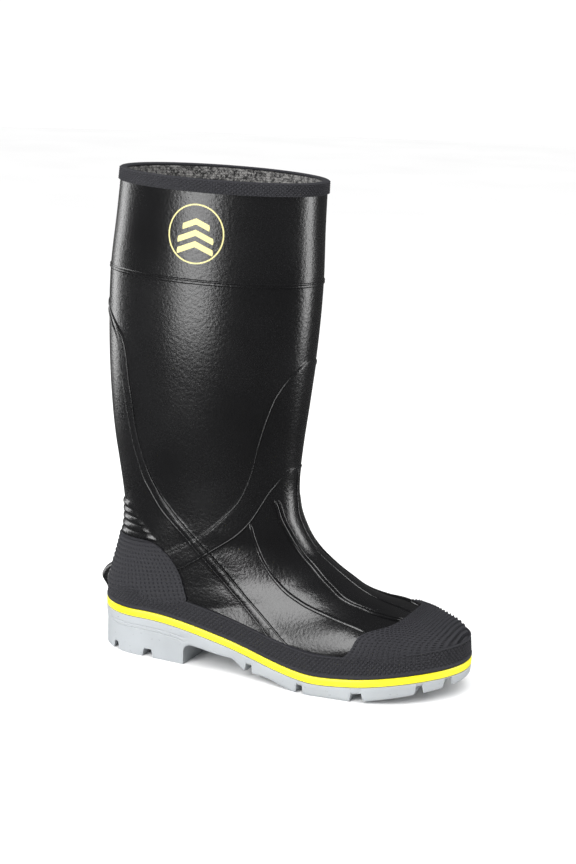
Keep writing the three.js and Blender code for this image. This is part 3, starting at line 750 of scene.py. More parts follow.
@made_once
def pressed_felt(colours):
    f = Finish("pressed_felt")
    fleck, hair = f.noise(520, 4, 0.7), f.noise(1600, 3, 0.6, 1.2)
    light = scaled(colours.knit_light, 0.8)
    colour = f.blend(f.ramp(fleck, 0.0, 1.0), colours.knit_dark, light)
    f.shader.inputs["Sheen Weight"].default_value = 0.2
    return f.connect(colour, f.ramp(fleck, 0.85, 0.95), f.bump(hair, 0.0003, 0.7), specular=0.2)


@made_once
def studio_floor(colours):
    f = Finish("studio_floor")
    grain = f.noise(3, 3, 0.5)
    colour = f.blend(f.ramp(grain, 0, 1), (0.87, 0.87, 0.87), (0.9, 0.9, 0.9))
    return f.connect(colour, f.ramp(grain, 0.75, 0.85), f.bump(grain, 0.0002, 0.1), specular=0.1)


# ---- The moulded upper ----

UPPER_TOP = BINDING_WALL + GAP
ROUND_COLUMNS = 320


def turns(columns):
    return np.linspace(0, 2 * math.pi, columns, endpoint=False)


def rows_down(start, spacing, fine_from=None, fine_to=None, fine=0.5):
    rows = np.arange(start, TOE_END - spacing / 3, spacing)
    if fine_from is not None:
        inside = np.arange(fine_from, fine_to, fine)
        rows = rows[(rows < fine_from - fine) | (rows > fine_to + fine)]
        rows = np.sort(np.concatenate([rows, inside]))
    return np.append(rows, TOE_END)


def add_shell(builder, rows, inner_rows, columns, outer, inner, floors, uv=None):
    """A closed sock: outside from the toe up to the top edge, then inside back down."""
    angles = turns(columns)[None, :]
    outside = skin(rows[::-1, None], angles, outer(rows[::-1, None], angles), floors[0])
    inside = skin(inner_rows[:, None], angles, inner(inner_rows[:, None], angles), floors[1])
    marks = None
    if uv:
        places = np.concatenate([rows[::-1], inner_rows])
        marks = np.stack(np.broadcast_arrays(
            np.arange(columns)[None, :] * uv[0] / columns, places[:, None] / uv[1]
        ), -1)
    builder.add(np.vstack([outside, inside]), wrap_columns=True, uv=marks)


def through_middle(place, angle, middle):
    """A line of one side joined to its mirror image across the front (0) or the back (pi)."""
    other = 2 * middle - angle[1:]
    return np.concatenate([place[::-1], place[1:]]), np.concatenate([angle[::-1], other])


def add_bead(builder, place, angle, shape, width=1.0, height=1.0):
    """A half-round moulded line, sunk a little into the surface and thinned to nothing at its ends."""
    half_width = 0.5 * width * shape.line_width / MM
    rise = height * shape.line_height / MM
    base = skin(place, angle, relief(place, angle, shape))
    normal = outward(place, angle)
    tangent = np.gradient(base, axis=0)
    tangent /= np.linalg.norm(tangent, axis=1, keepdims=True)
    across = np.cross(tangent, normal)
    length = lengths_along(base)
    taper = np.sqrt(np.clip(np.minimum(length, length[-1] - length) / 5.0, 0, 1))[:, None]
    sunk = 0.45
    steps = np.linspace(0, math.pi, 7)
    profile = [(math.cos(t), math.sin(t)) for t in steps] + [(-1, -sunk / rise), (1, -sunk / rise)]
    rings = [base + taper * (across * half_width * x + normal * rise * y) for x, y in profile]
    builder.add(np.stack(rings, axis=1), wrap_columns=True)


# Widths and heights of the moulded lines, as shares of the settings
STRAP_BEAD = (0.75, 0.7)
VAMP_OUTER_BEAD = (1.9, 1.6)
VAMP_INNER_BEAD = (1.4, 1.4)
VAMP_CENTRE_BEAD = (1.2, 1.0)
VAMP_TWIN_GAP = 3.2


def build_upper(shape, colours):
    made = Builder()
    rows = rows_down(UPPER_TOP, 1.7, ACHILLES_TOP - 2, ACHILLES_END + 2)
    add_shell(
        made, rows, rows_down(UPPER_TOP, 7), ROUND_COLUMNS,
        lambda s, a: relief(s, a, shape), lambda s, a: np.full(np.broadcast(s, a).shape, -UPPER_WALL),
        (shell_floor, shell_inside),
    )
    for line in (SIDE_BAND_FRONT, SIDE_BAND_REAR):
        add_bead(made, *through_middle(*sampled(line), math.pi), shape)
    for line in (STRAP_TOP, STRAP_BOTTOM):
        add_bead(made, *through_middle(*sampled(line), 0), shape, *STRAP_BEAD)
    for side in (1, -1):
        place, angle = sampled(VAMP_OUTER)
        add_bead(made, place, side * angle, shape, *VAMP_OUTER_BEAD)
        place, angle = sampled(VAMP_INNER)
        for shift in (0.0, -VAMP_TWIN_GAP):
            moved = angle + shift / arc_scale(place, angle)
            add_bead(made, place, side * moved, shape, *VAMP_INNER_BEAD)
    place, angle = sampled(VAMP_CENTRE)
    add_bead(made, place, angle, shape, *VAMP_CENTRE_BEAD)
    piece = made.finish("moulded_upper", moulded_rubber(colours), crease=60)
    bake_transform(piece)
    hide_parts("leg_upper", "ankle_upper", "foot_upper")


# ---- The knit lining ----

COURSE_SHARE = 0.85  # height of a stitch as a share of its width


def unwrap_seam(mesh, wales):
    """Where a face crosses from the last wale to the first, its count carries on upwards."""
    layer = mesh.uv_layers["wales"]
    marks = np.empty(len(mesh.loops) * 2, np.float32)
    layer.data.foreach_get("uv", marks)
    marks = marks.reshape(-1, 2)
    for face in mesh.polygons:
        corners = slice(face.loop_start, face.loop_start + face.loop_total)
        across = marks[corners, 0]
        if across.max() - across.min() > wales / 2:
            marks[corners, 0] = np.where(across < wales / 2, across + wales, across)
    layer.data.foreach_set("uv", marks.reshape(-1))


def build_lining(shape, colours):
    made = Builder()
    top = UPPER_TOP + 0.2
    rows = rows_down(top, 5.0, top, 60, 1.5)
    pitch = shape.knit_pitch / MM
    wales = (round(LINING_GIRTH / pitch), COURSE_SHARE * pitch)
    add_shell(
        made, rows_down(top, 9), rows, 160,
        lambda s, a: -lining_depth(s, a), lambda s, a: -lining_depth(s, a) - LINING_WALL,
        (lining_floor, lining_inside), uv=wales,
    )
    piece = made.finish("knit_lining_sock", speckled_knit(colours), crease=180)
    unwrap_seam(piece.data, wales[0])
    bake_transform(piece)
    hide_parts("leg_lining", "ankle_lining", "foot_lining")


# ---- The top edge ----

ROW_STRETCH = 1.12  # rows of studs for each column over the same length


def place_at_height(level):
    low, high = 0.0, PLACES[len(SHAFT_SECTIONS)]
    for _ in range(40):
        middle = (low + high) / 2
        values = section(np.array(middle))
        low, high = (middle, high) if (values[1] + values[3]) / 2 > level else (low, middle)
    return low


TRIM_PLACE = place_at_height(BOOT_HEIGHT - TRIM_DROP)


def diamonds(rows, columns):
    """Heights, 0 to 1, of a diamond knurl on a grid of quarter steps."""
    i, j = np.meshgrid(np.arange(rows) / 4, np.arange(columns) / 4, indexing="ij")
    nearest = np.ones((rows, columns))
    foot, top = 0.4, 0.12
    for shift in (0.0, 0.5):
        down = np.abs((i - shift + 0.5) % 1 - 0.5)
        across = np.abs((j - shift + 0.5) % 1 - 0.5)
        nearest = np.minimum(nearest, down + across)
    return np.clip((foot - nearest) / (foot - top), 0, 1)


def build_top_binding(shape, colours):
    pitch, stud = shape.binding_pitch / MM, shape.stud_height / MM
    columns = 4 * round(TOP_GIRTH / pitch)
    rows = 4 * round(ROW_STRETCH * (BINDING_HEIGHT - 1.2) / pitch) + 1
    angles = turns(columns)[None, :]
    base = GAP + BINDING_WALL - stud
    inner = -(UPPER_WALL + GAP + LINING_WALL)
    knurl = diamonds(rows, columns)
    places = np.linspace(BINDING_HEIGHT - 0.5, 1.0, rows)[:, None]
    below = [(BINDING_HEIGHT, 0.2), (BINDING_HEIGHT, base - 0.2), (BINDING_HEIGHT - 0.2, base)]
    above = [
        (0.7, base + 0.3), (0.35, base + 0.1), (0.1, base - 0.4), (0.0, base - 1.0),
        (0.0, inner + 1.0), (0.1, inner - 0.1), (0.5, inner - 0.6), (1.1, inner - 0.7),
        (1.7, inner - 0.3), (1.9, inner + 0.3), (UPPER_TOP - 0.3, inner + 1.0), (UPPER_TOP - 0.3, 0.2),
    ]
    made = Builder()
    rings = [skin(s, angles, d) for s, d in below]
    rings += [skin(places, angles, base + stud * knurl)]
    rings += [skin(s, angles, d) for s, d in above]
    heights = [np.zeros((len(below), columns)), knurl, np.zeros((len(above), columns))]
    made.add(np.vstack(rings), wrap_rows=True, wrap_columns=True, height=np.vstack(heights))
    piece = made.finish("knurled_top_binding", knurled_rubber(colours))
    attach(piece, "leg")
    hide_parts("top_binding")


def build_trim_line(colours):
    half, sunk = 1.6, 0.4
    ridge = [(half + 0.4, 0.0), (half, 0.25), (half - 0.35, 0.7), (half - 0.8, 0.75), (half - 1.2, 0.35)]
    profile = [(TRIM_PLACE - off, rise) for off, rise in ridge] + [(TRIM_PLACE, 0.2)]
    profile += [(TRIM_PLACE + off, rise) for off, rise in ridge[::-1]] + [(TRIM_PLACE, -sunk)]
    made = Builder()
    angles = turns(300)[None, :]
    made.add(np.vstack([skin(s, angles, d) for s, d in profile]), True, True)
    piece = made.finish("double_trim_line", moulded_rubber(colours), crease=60)
    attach(piece, "leg")
    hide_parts("trim_line_rib")


# ---- Knurled guards ----

GUARD_SUNK = 0.6         # how far a guard's rim goes into the upper
TOE_GUARD_LENGTH = 76.0  # along the middle, from its edge to the sole
TOE_GUARD_GIRTH = 200.0
HEEL_GUARD_GIRTH = 180.0


def add_patch(builder, outer, under, height=None):
    """A sheet whose rim runs down to the rim of the sheet under it."""
    framed = np.pad(under, ((1, 1), (1, 1), (0, 0)), mode="edge")
    framed[1:-1, 1:-1] = outer
    builder.add(framed, height=height)
    builder.add(under)


STUD_STEPS = (0.2, 0.4, 0.6, 0.8)  # foot, top, top and foot of a stud, as shares of its pitch
STUD_HEIGHTS = (0.0, 1.0, 1.0, 0.0)


def studs(count):
    """Places, as shares of a row, and heights of its flat-topped studs, with the row's two ends."""
    at = (np.arange(count)[:, None] + np.array(STUD_STEPS)).reshape(-1) / count
    return np.concatenate([[0], at, [1]]), np.pad(np.tile(STUD_HEIGHTS, count), 1)


def even_angles(place, low, high, shares):
    """Angles that share out the surface evenly between two angles of one row."""
    fine = np.linspace(low, high, 240)
    length = lengths_along(surface(place, fine))
    return np.interp(shares * length[-1], length, fine)


def add_guard(builder, start, end, span, row_count, column_count, shape):
    """A studded patch, closed underneath. start gives the first row's place for each angle."""
    down, down_height = studs(row_count)
    across, across_height = studs(column_count)
    middle = mix(start(np.array(span(0)[0])), end, down)
    angle = np.stack([even_angles(s, *span(share), across) for s, share in zip(middle, down)])
    place = mix(start(angle), end, down[:, None])
    height = np.minimum(down_height[:, None], across_height[None, :])
    base = 2 * GAP + GUARD_WALL - shape.stud_height / MM
    outer = skin(place, angle, base + height * shape.stud_height / MM)
    add_patch(builder, outer, skin(place, angle, -GUARD_SUNK), np.pad(height, 1))


def toe_edge(angle):
    turned = np.abs(np.degrees(angle))
    return 465 - 16 * np.exp(-(((turned - 56) / 22) ** 2))


HEEL_EDGE = [
    (287, 124),
    *seen_from_side((50, 96.5), (61, 94.5), (70, 89), (77, 81.5), (82.5, 72), (86, 62), (88, 46)),
]


def build_guards(shape, colours):
    pitch = shape.guard_pitch / MM
    made = Builder()
    reach = math.radians(106)
    add_guard(
        made, toe_edge, TOE_END - 2.5, lambda share: (-reach, reach),
        round(TOE_GUARD_LENGTH / (ROW_STRETCH * pitch)), round(TOE_GUARD_GIRTH / pitch), shape,
    )
    piece = made.finish("knurled_toe_guard", knurled_rubber(colours), crease=30)
    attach(piece, "foot")
    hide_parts("toe_guard")

    start, end = HEEL_EDGE[0][0], HEEL_EDGE[-1][0]
    edge = np.array(HEEL_EDGE, float)

    def span(share):
        turned = math.radians(np.interp(mix(start, end, share), edge[:, 0], edge[:, 1]))
        return turned, 2 * math.pi - turned

    made = Builder()
    add_guard(
        made, lambda angle: np.full(np.shape(angle), float(start)), end, span,
        round((end - start) / pitch), round(HEEL_GUARD_GIRTH / pitch), shape,
    )
    piece = made.finish("knurled_heel_guard", knurled_rubber(colours), crease=30)
    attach(piece, "foot")
    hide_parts("heel_guard")


def build_ridge(colours):
    """The rounded ledge at the back of the heel, swelling out between its four thin edges."""
    top, bottom, reach = foot_place(4.8), foot_place(6.3), 0.36
    rise, sunk = 7.4, 2.0
    rows = np.linspace(top, bottom, 36)[:, None]
    across = np.linspace(-1, 1, 48)[None, :]
    along = (rows - top) / (bottom - top)
    base = 3 * GAP + GUARD_WALL
    swell = (1 - across**4) * np.sin(math.pi * along**1.4)
    ridge = 0.35 * np.sin(3 * math.pi * along) ** 2 * (1 - across**6)
    outer = skin(rows, math.pi + reach * across, base - GUARD_SUNK + rise * swell - ridge)
    made = Builder()
    add_patch(made, outer, skin(rows, math.pi + reach * across, base - sunk))
    piece = made.finish("kick_off_ridge", moulded_rubber(colours), crease=60)
    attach(piece, "foot")
    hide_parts("kick_off_lug")


# ---- The sole ----


def outline_point(run, side, inset):
    """A point of the sole's edge. run: 0 to 1 round the heel, to 2 along, to 3 round the toe."""
    round_heel = np.clip(1 - run, 0, 1) * math.pi / 2
    round_toe = np.clip(run - 2, 0, 1) * math.pi / 2
    x = mix(HEEL_CENTRE, TOE_CENTRE, np.clip(run - 1, 0, 1))
    x = x - (HEEL_CENTRE - inset) * np.sin(round_heel)
    x = x + (SOLE_LENGTH - TOE_CENTRE - inset) * np.sin(round_toe)
    reach = side_width(x, inset) * np.cos(round_heel) * np.cos(round_toe)
    return x, mid_line(x) - side * reach


def even_runs(count):
    """Values of run from heel to toe, evenly spaced along the mean of the two sides."""
    fine = np.linspace(0, 3, 3001)
    steps = 0
    for side in (1, -1):
        x, y = outline_point(fine, side, 0)
        steps = steps + np.hypot(np.diff(x), np.diff(y))
    length = np.concatenate([[0], np.cumsum(steps)])
    return np.interp(np.linspace(0, length[-1], count), length, fine)


def ring(runs, inset, level):
    """The closed outline: heel to toe on the outer side, and back on the inner."""
    run = np.concatenate([runs, runs[-2:0:-1]])
    side = np.concatenate([np.ones(len(runs)), -np.ones(len(runs) - 2)])
    x, y = outline_point(run, side, inset)
    return np.stack([x, y, level(x, y)], -1)


CAP_POINTS = 12    # from side to side, on a cap that another layer hides
TREAD_POINTS = 72  # the same, on the tread


def add_cap(builder, edge, across, level):
    """A sheet across a ring, from its outer side to its inner side."""
    half = len(edge) // 2
    outer, inner = edge[: half + 1], np.vstack([edge[:1], edge[:half:-1], edge[half : half + 1]])
    share = np.linspace(0, 1, across)[None, :, None]
    sheet = mix(outer[:, None], inner[:, None], share)
    x, y = sheet[..., 0], sheet[..., 1]
    ends = (share[..., 0] > 0) & (share[..., 0] < 1)
    sheet[..., 2] = np.where(ends, level(x, y), sheet[..., 2])
    builder.add(sheet)


def build_foxing(shape, colours):
    pitch, stud = shape.foxing_pitch / MM, 1.15 * shape.stud_height / MM
    half = 2 * round(SOLE_PERIMETER / pitch)
    runs = even_runs(half + 1)
    columns = 2 * half
    strip, lip = 3.2, 1.3
    rows = 4 * round((FOXING_HEIGHT - strip - lip) / pitch) + 1
    knurl = diamonds(rows, columns)
    bottom = GAP

    def lifted(height):
        return lambda x, y: midsole_top(x) + height

    lean = 1.0
    rings = [ring(runs, i, lifted(z)) for i, z in (
        (9, bottom), (0.8, bottom), (0.25, bottom + 0.25), (0.0, bottom + 0.9),
        (0.0, strip - 0.7), (0.35, strip - 0.2),
    )]
    before = len(rings)
    for row in range(rows):
        share = row / (rows - 1)
        level = mix(strip, FOXING_HEIGHT - lip, share)
        base = ring(runs, lean * share + 0.15 + stud, lifted(level))
        top = ring(runs, lean * share + 0.15, lifted(level))
        rings.append(mix(base, top, knurl[row][:, None]))
    rings += [ring(runs, i, lifted(FOXING_HEIGHT + z)) for i, z in (
        (lean + 0.5, -1.0), (lean + 0.35, -0.5), (lean + 0.6, -0.1), (lean + 1.2, 0.0), (9, -0.8),
    )]
    height = np.zeros((len(rings), columns))
    height[before : before + rows] = knurl
    made = Builder()
    made.add(np.stack(rings), wrap_rows=True, wrap_columns=True, height=height)
    piece = made.finish("knurled_foxing_band", knurled_rubber(colours))
    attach(piece, "foot")
    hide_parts("foxing_band")


def ground_line(x):
    """Underside of the sole: heel block, hollow waist with a rounded front wall, forefoot."""
    fillet = 6.5
    into = np.clip((fillet - (x - BREAST)) / fillet, 0, 1)
    wall = fillet * (1 - np.sqrt(1 - into**2))
    arch = mix(ARCH_HEIGHT, 13, smooth(x, BREAST, ARCH_FRONT)) - wall
    arch = mix(arch, 5, smooth(x, ARCH_FRONT, 145))
    arch = mix(arch, 0, smooth(x, 158, 190))
    toe = 0.19 * np.maximum(0, x - 236) * smooth(x, 225, 250)
    return np.where(x < BREAST, 0.0, arch) + toe


TREAD_GAPS = [
    (20, 0.1, 5), (54.5, 0, 8), (150, -0.1, 6), (196, -0.05, 5.5), (236, 0.05, 9), (277, 0.12, 5),
    (293, 0.2, 5),
]


def tread(x, y):
    """How far the ground line is cut away by the grooves between the cleats."""
    depth = np.zeros(np.broadcast(x, y).shape)
    for middle, turn, width in TREAD_GAPS:
        off = np.abs((x - middle) * math.cos(turn) + (y - mid_line(middle)) * math.sin(turn))
        depth = np.maximum(depth, TREAD_DEPTH * (1 - smooth(off, width / 2 - 0.5, width / 2 + 0.5)))
    inward = half_breadth(x, 1.5) - np.abs(y - mid_line(x))
    zigzag = 5 * np.abs(((x / 17) % 1) * 2 - 1) - 2.5
    centre = np.abs(y - mid_line(x) - zigzag)
    on_ground = (1 - smooth(x, 78, 82)) + smooth(x, 160, 166)
    on_ground = on_ground * smooth(x, 8, 11) * (1 - smooth(x, 284, 288))
    lengthwise = 3.2 * (1 - smooth(centre, 1.6, 2.6))
    sipe_at = np.abs(((x + 0.25 * (y - mid_line(x))) / 8.5) % 1 - 0.5) * 8.5
    sipes = 1.1 * (1 - smooth(sipe_at, 0.5, 1.0)) * smooth(inward, 7, 8)
    return np.maximum(depth, on_ground * np.maximum(lengthwise, sipes))


def sole_runs():
    """Values of run for the sole, closer together where the heel block's front edge is sharp."""
    at_breast = BREAST + np.array([-0.02, 0.02, 0.3, 0.8, 1.6])
    at_breast = 1 + (at_breast - HEEL_CENTRE) / (TOE_CENTRE - HEEL_CENTRE)
    return np.sort(np.concatenate([even_runs(421), at_breast]))


def build_outsole(colours):
    runs = sole_runs()

    def under(x, y):
        return ground_line(x) + tread(x, y)

    def top(x, y):
        return midsole_bottom(x) - GAP + 0 * y

    ledges = [
        (0.0, 0.5), (0.25, 0.12), (0.8, 0.0), (5.6, 0.0), (6.0, 0.32), (6.6, 0.4), (7.0, 0.12),
        (8.6, 0.12), (9.0, 0.5), (9.6, 0.58), (10.0, 0.3), (12.5, 0.35),
    ]
    lower = ring(runs, 1.5, under)
    upper_edge = ring(runs, 0.0, top)
    rise = upper_edge[:, 2] - lower[:, 2]
    squeeze = np.minimum(1, (rise - 1.4) / 12.8)
    fade = 1 - smooth(upper_edge[:, 0], 82, 96)
    rings = []
    for depth, step in ledges:
        lean = 1.5 * depth / 27.0
        inset = np.where(depth < 1, step, step * fade) + lean
        rings.append(ring(runs, inset, lambda x, y: upper_edge[:, 2] - depth * squeeze))
    chamfer = ring(runs, 1.2, under)
    chamfer[:, 2] = lower[:, 2] + 0.5
    rings += [chamfer, ring(runs, 1.7, under)]
    made = Builder()
    made.add(np.stack(rings), wrap_columns=True)
    add_cap(made, rings[0], CAP_POINTS, top)
    add_cap(made, rings[-1], TREAD_POINTS, under)
    piece = made.finish("cleated_outsole", sole_rubber(colours), crease=35)
    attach(piece, "foot")
    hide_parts("outsole")


def build_midsole(colours):
    def level(height):
        return lambda x, y: sole_line(x) + height + 0 * y

    profile = [
        (1.0, -2.95), (0.45, -2.8), (0.2, -2.3), (0.15, -1.3), (0.35, -1.05), (0.35, -0.9),
        (0.1, -0.6), (0.0, 0.6), (0.05, 1.8), (0.25, 2.5), (0.6, 2.9), (1.2, 3.0),
    ]
    runs = sole_runs()
    rings = [ring(runs, inset, level(height)) for inset, height in profile]
    made = Builder()
    made.add(np.stack(rings), wrap_columns=True)
    add_cap(made, rings[0], CAP_POINTS, level(profile[0][1]))
    add_cap(made, rings[-1], CAP_POINTS, level(profile[-1][1]))
    piece = made.finish("midsole_stripe", stripe_rubber(colours), crease=35)
    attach(piece, "foot")
    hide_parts("midsole")


# ---- The printed mark ----

MARK_PLACE, MARK_ANGLE = 41.0, math.radians(84)


def on_shaft(forward, down, distance):
    """A point near the mark's middle, millimetres forward and down from it."""
    scale = arc_scale(MARK_PLACE, MARK_ANGLE)
    return skin(MARK_PLACE + down, MARK_ANGLE - forward / scale, distance)


def build_mark(shape, colours):
    radius, line, film = shape.mark_radius / MM, 1.1, 0.16
    made = Builder()
    round_mark = turns(160)[None, :]
    profile = [(-0.5, 0.0), (-0.5, film), (0.5, film), (0.5, 0.0)]
    rings = [on_shaft((radius + line * r) * np.cos(round_mark),
                      (radius + line * r) * np.sin(round_mark), d) for r, d in profile]
    made.add(np.vstack(rings), True, True)
    for middle, reach in ((-9.5, 11.0), (-1.0, 14.5), (7.5, 14.5)):
        u = np.linspace(-reach, reach, 61)[:, None]
        v = middle + 0.42 * np.abs(u)
        bar = 4.6 * np.ones_like(u)
        bar[0] = bar[-1] = 0
        sides = np.array([[-0.5, -0.5, 0.5, 0.5]])
        lift = np.array([[0.0, film, film, 0.0]])
        made.add(on_shaft(u + 0 * sides, v + bar * sides, lift + 0 * u), wrap_columns=True)
    piece = made.finish("printed_chevron_mark", printed_mark(colours), crease=60)
    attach(piece, "leg")


# ---- CAD pieces that keep their shape ----


def finish_inner_pieces(colours):
    finishes = {
        brushed_steel: ("steel_toe_cap", "steel_shank", "steel_midsole_plate"),
        pressed_fibreboard: ("insole_board",),
        cellular_foam: ("insole_foam",),
        moulded_stiffener: ("toe_cap_edge_strip", "heel_stiffener"),
        pressed_felt: ("insole_cover",),
    }
    for finish, names in finishes.items():
        for name in names:
            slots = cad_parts[name].data.materials
            slots.clear()
            slots.append(finish(colours))


# ---- Stage ----


def look_rotation(back, roll):
    forward = -back
    right = forward.cross(Vector((0, 0, 1))).normalized()
    up = right.cross(forward)
    turned_right = right * math.cos(roll) + up * math.sin(roll)
    turned_up = up * math.cos(roll) - right * math.sin(roll)
    return Matrix((turned_right, turned_up, back)).transposed().to_4x4()


def direction(azimuth, elevation):
    a, e = math.radians(azimuth), math.radians(elevation)
    return Vector((math.sin(a) * math.cos(e), -math.cos(a) * math.cos(e), math.sin(e)))


def build_camera():
    camera = bpy.data.objects.new("camera", bpy.data.cameras.new("camera"))
    bpy.context.scene.collection.objects.link(camera)
    place = Vector((0.5723, -1.2869, 0.5149))
    back, roll = direction(24.06, 13.04), math.radians(1.98)
    camera.matrix_world = Matrix.Translation(place) @ look_rotation(back, roll)
    camera.data.lens = 77.77
    camera.data.sensor_width = 36
    camera.data.shift_x, camera.data.shift_y = 0.0041, 0.0003
    camera.data.clip_start, camera.data.clip_end = 0.01, 50
    bpy.context.scene.camera = camera


MIDDLE_OF_BOOT = Vector((0, 0, 0.18))


def softbox(name, azimuth, elevation, distance, size, power):
    data = bpy.data.lights.new(name, "AREA")
    data.shape, (data.size, data.size_y) = "RECTANGLE", size
    data.energy = power
    light = bpy.data.objects.new(name, data)
    bpy.context.scene.collection.objects.link(light)
    back = direction(azimuth, elevation)
    place = MIDDLE_OF_BOOT + back * distance
    light.matrix_world = Matrix.Translation(place) @ look_rotation(back, 0)


def add_daylight(strength):
    """Even, soft light from above that the glossy rubber doesn't mirror."""
    data = bpy.data.lights.new("daylight", "SUN")
    data.energy, data.angle = strength, math.radians(70)
    light = bpy.data.objects.new("daylight", data)
    bpy.context.scene.collection.objects.link(light)
    light.matrix_world = look_rotation(direction(40, 78), 0)
    light.visible_glossy = False


def build_stage(stage, colours):
    made = Builder()
    radius, rings_out = stage.floor_radius / MM, 24
    angle = turns(96)[None, :]
    out = np.linspace(0.0, 1.0, rings_out)[:, None] ** 1.5 * radius
    flat = np.stack([out * np.cos(angle), out * np.sin(angle), 0 * out * angle], -1)
    made.add(flat - ORIGIN / MM, wrap_columns=True)
    floor = made.finish("floor", studio_floor(colours), crease=180)
    floor.visible_glossy = False
    floor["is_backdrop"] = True
    softbox("key_softbox", -19, 16, 1.6, (0.8, 1.6), 36 * stage.light)
    softbox("right_softbox", 112, 14, 1.5, (0.5, 1.5), 20 * stage.light)
    softbox("left_softbox", -104, 14, 1.5, (0.45, 1.5), 9 * stage.light)
    add_daylight(stage.daylight)
    world = bpy.data.worlds.new("studio")
    world.use_nodes = True
    nodes, links = world.node_tree.nodes, world.node_tree.links
    sky = nodes["Background"]
    sky.inputs["Color"].default_value = (1, 1, 1, 1)
    rays = nodes.new("ShaderNodeLightPath")
    level = nodes.new("ShaderNodeMapRange")
    links.new(rays.outputs["Is Camera Ray"], level.inputs["Value"])
    level.inputs["To Min"].default_value = stage.fill
    level.inputs["To Max"].default_value = 1.1
    links.new(level.outputs["Result"], sky.inputs["Strength"])
    bpy.context.scene.world = world
    bpy.context.scene.view_settings.view_transform = "Standard"
    build_camera()


# ---- Settings, operators and panel ----


def length_setting(name, description, default):
    return bpy.props.FloatProperty(
        name=name, description=description, default=default, min=0, unit="LENGTH", precision=5
    )


def colour_setting(name, description, default):
    return bpy.props.FloatVectorProperty(
        name=name, description=description, default=default, size=3, min=0, max=1, subtype="COLOR"
    )


class BootShape(bpy.types.PropertyGroup):
    """Sizes of the moulded detail."""

    panel_height: length_setting("Panel height", "Step at the edge of a moulded panel", 0.0008)
    line_height: length_setting("Line height", "Rise of a moulded line", 0.0009)
    line_width: length_setting("Line width", "Width of a moulded line", 0.0019)
    rib_height: length_setting("Heel rib height", "Rise of the ribs above the heel guard", 0.0015)
    stud_height: length_setting("Stud height", "Rise of the knurl's studs", 0.001)
    guard_pitch: length_setting("Guard pitch", "Step between the studs of toe and heel guard", 0.0035)
    foxing_pitch: length_setting("Foxing pitch", "Step between the diamonds of the foxing", 0.0037)
    binding_pitch: length_setting("Binding pitch", "Step between the diamonds of the top edge", 0.0036)
    knit_pitch: length_setting("Knit pitch", "Width of a column of the lining's stitches", 0.0024)
    mark_radius: length_setting("Mark radius", "Radius of the printed mark", 0.022)


class BootColours(bpy.types.PropertyGroup):
    """Colours and surface strength of the boot's finishes."""

    rubber: colour_setting("Rubber", "Black moulded rubber", (0.0045, 0.0045, 0.0049))
    stripe: colour_setting("Stripe", "Midsole stripe", (0.86, 0.76, 0.015))
    sole: colour_setting("Sole", "Outsole", (0.345, 0.365, 0.382))
    mark: colour_setting("Mark", "Printed mark", (0.60, 0.54, 0.23))
    knit_dark: colour_setting("Dark yarn", "Dark yarn of the lining", (0.02, 0.02, 0.02))
    knit_light: colour_setting("Light yarn", "Light yarn of the lining", (0.42, 0.41, 0.40))
    ripple: bpy.props.FloatProperty(
        name="Ripple", description="Strength of the rubber's leathery ripple", default=0.35,
        min=0, max=1, subtype="FACTOR",
    )


class BootStage(bpy.types.PropertyGroup):
    """Floor and light."""

    floor_radius: length_setting("Floor radius", "Radius of the pale floor", 6.0)
    light: bpy.props.FloatProperty(
        name="Light", description="Strength of the softboxes", default=1.0, min=0
    )
    daylight: bpy.props.FloatProperty(
        name="Daylight", description="Strength of the even light from above", default=3.4, min=0
    )
    fill: bpy.props.FloatProperty(
        name="Fill", description="Strength of the even light all round", default=0.1, min=0
    )


class BOOT_OT_upper(bpy.types.Operator):
    """Build the moulded rubber upper"""

    bl_idname = "boot.upper"
    bl_label = "Moulded upper"

    def execute(self, context):
        build_upper(context.scene.boot_shape, context.scene.boot_colours)
        return {"FINISHED"}


class BOOT_OT_lining(bpy.types.Operator):
    """Build the knit lining sock"""

    bl_idname = "boot.lining"
    bl_label = "Knit lining"

    def execute(self, context):
        build_lining(context.scene.boot_shape, context.scene.boot_colours)
        return {"FINISHED"}


class BOOT_OT_top_edge(bpy.types.Operator):
    """Build the knurled top binding and the double trim line"""

    bl_idname = "boot.top_edge"
    bl_label = "Top edge"

    def execute(self, context):
        build_top_binding(context.scene.boot_shape, context.scene.boot_colours)
        build_trim_line(context.scene.boot_colours)
        return {"FINISHED"}


class BOOT_OT_guards(bpy.types.Operator):
    """Build the toe guard, the heel guard and the kick-off ridge"""

    bl_idname = "boot.guards"
    bl_label = "Guards"

    def execute(self, context):
        build_guards(context.scene.boot_shape, context.scene.boot_colours)
        build_ridge(context.scene.boot_colours)
        return {"FINISHED"}


class BOOT_OT_foxing(bpy.types.Operator):
    """Build the knurled foxing band"""

    bl_idname = "boot.foxing"
    bl_label = "Foxing band"

    def execute(self, context):
        build_foxing(context.scene.boot_shape, context.scene.boot_colours)
        return {"FINISHED"}


class BOOT_OT_sole(bpy.types.Operator):
    """Build the cleated outsole and the midsole stripe"""

    bl_idname = "boot.sole"
    bl_label = "Sole"

    def execute(self, context):
        build_outsole(context.scene.boot_colours)
        build_midsole(context.scene.boot_colours)
        return {"FINISHED"}


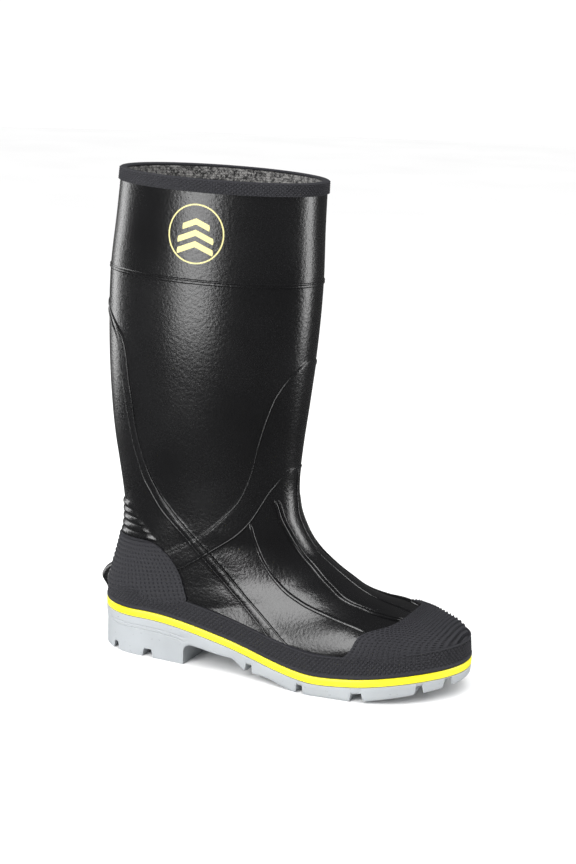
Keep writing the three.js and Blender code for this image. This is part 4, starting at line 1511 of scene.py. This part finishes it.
class BOOT_OT_mark(bpy.types.Operator):
    """Print the chevron mark on the shaft"""

    bl_idname = "boot.mark"
    bl_label = "Printed mark"

    def execute(self, context):
        build_mark(context.scene.boot_shape, context.scene.boot_colours)
        return {"FINISHED"}


class BOOT_OT_inner_pieces(bpy.types.Operator):
    """Give the inner CAD pieces their finishes"""

    bl_idname = "boot.inner_pieces"
    bl_label = "Inner pieces"

    def execute(self, context):
        finish_inner_pieces(context.scene.boot_colours)
        return {"FINISHED"}


class BOOT_OT_stage(bpy.types.Operator):
    """Set up the floor, the lights and the camera"""

    bl_idname = "boot.stage"
    bl_label = "Stage"

    def execute(self, context):
        build_stage(context.scene.boot_stage, context.scene.boot_colours)
        return {"FINISHED"}


OPERATORS = (
    BOOT_OT_upper, BOOT_OT_lining, BOOT_OT_top_edge, BOOT_OT_guards, BOOT_OT_foxing,
    BOOT_OT_sole, BOOT_OT_mark, BOOT_OT_inner_pieces, BOOT_OT_stage,
)


class BOOT_PT_pieces(bpy.types.Panel):
    """The boot's settings and pieces"""

    bl_label = "Fire boot"
    bl_space_type = "VIEW_3D"
    bl_region_type = "UI"
    bl_category = "Fire boot"

    def draw(self, context):
        for group in ("boot_shape", "boot_colours", "boot_stage"):
            settings = getattr(context.scene, group)
            box = self.layout.box()
            for name in settings.__annotations__:
                box.prop(settings, name)
        for operator in OPERATORS:
            self.layout.operator(operator.bl_idname)


GROUPS = {"boot_shape": BootShape, "boot_colours": BootColours, "boot_stage": BootStage}


def register():
    for made in (*GROUPS.values(), *OPERATORS, BOOT_PT_pieces):
        bpy.utils.register_class(made)
    for name, group in GROUPS.items():
        setattr(bpy.types.Scene, name, bpy.props.PointerProperty(type=group))


def unregister():
    for name in GROUPS:
        delattr(bpy.types.Scene, name)
    for made in (BOOT_PT_pieces, *OPERATORS, *GROUPS.values()):
        bpy.utils.unregister_class(made)


def main():
    register()
    for operator in OPERATORS:
        getattr(bpy.ops.boot, operator.bl_idname.split(".")[1])()
    boxes = {"cad": CAD_BOX, "visual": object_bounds()}
    {key: [list(corner) for corner in box] for key, box in boxes.items()}


if __name__ == "__main__":
    main()
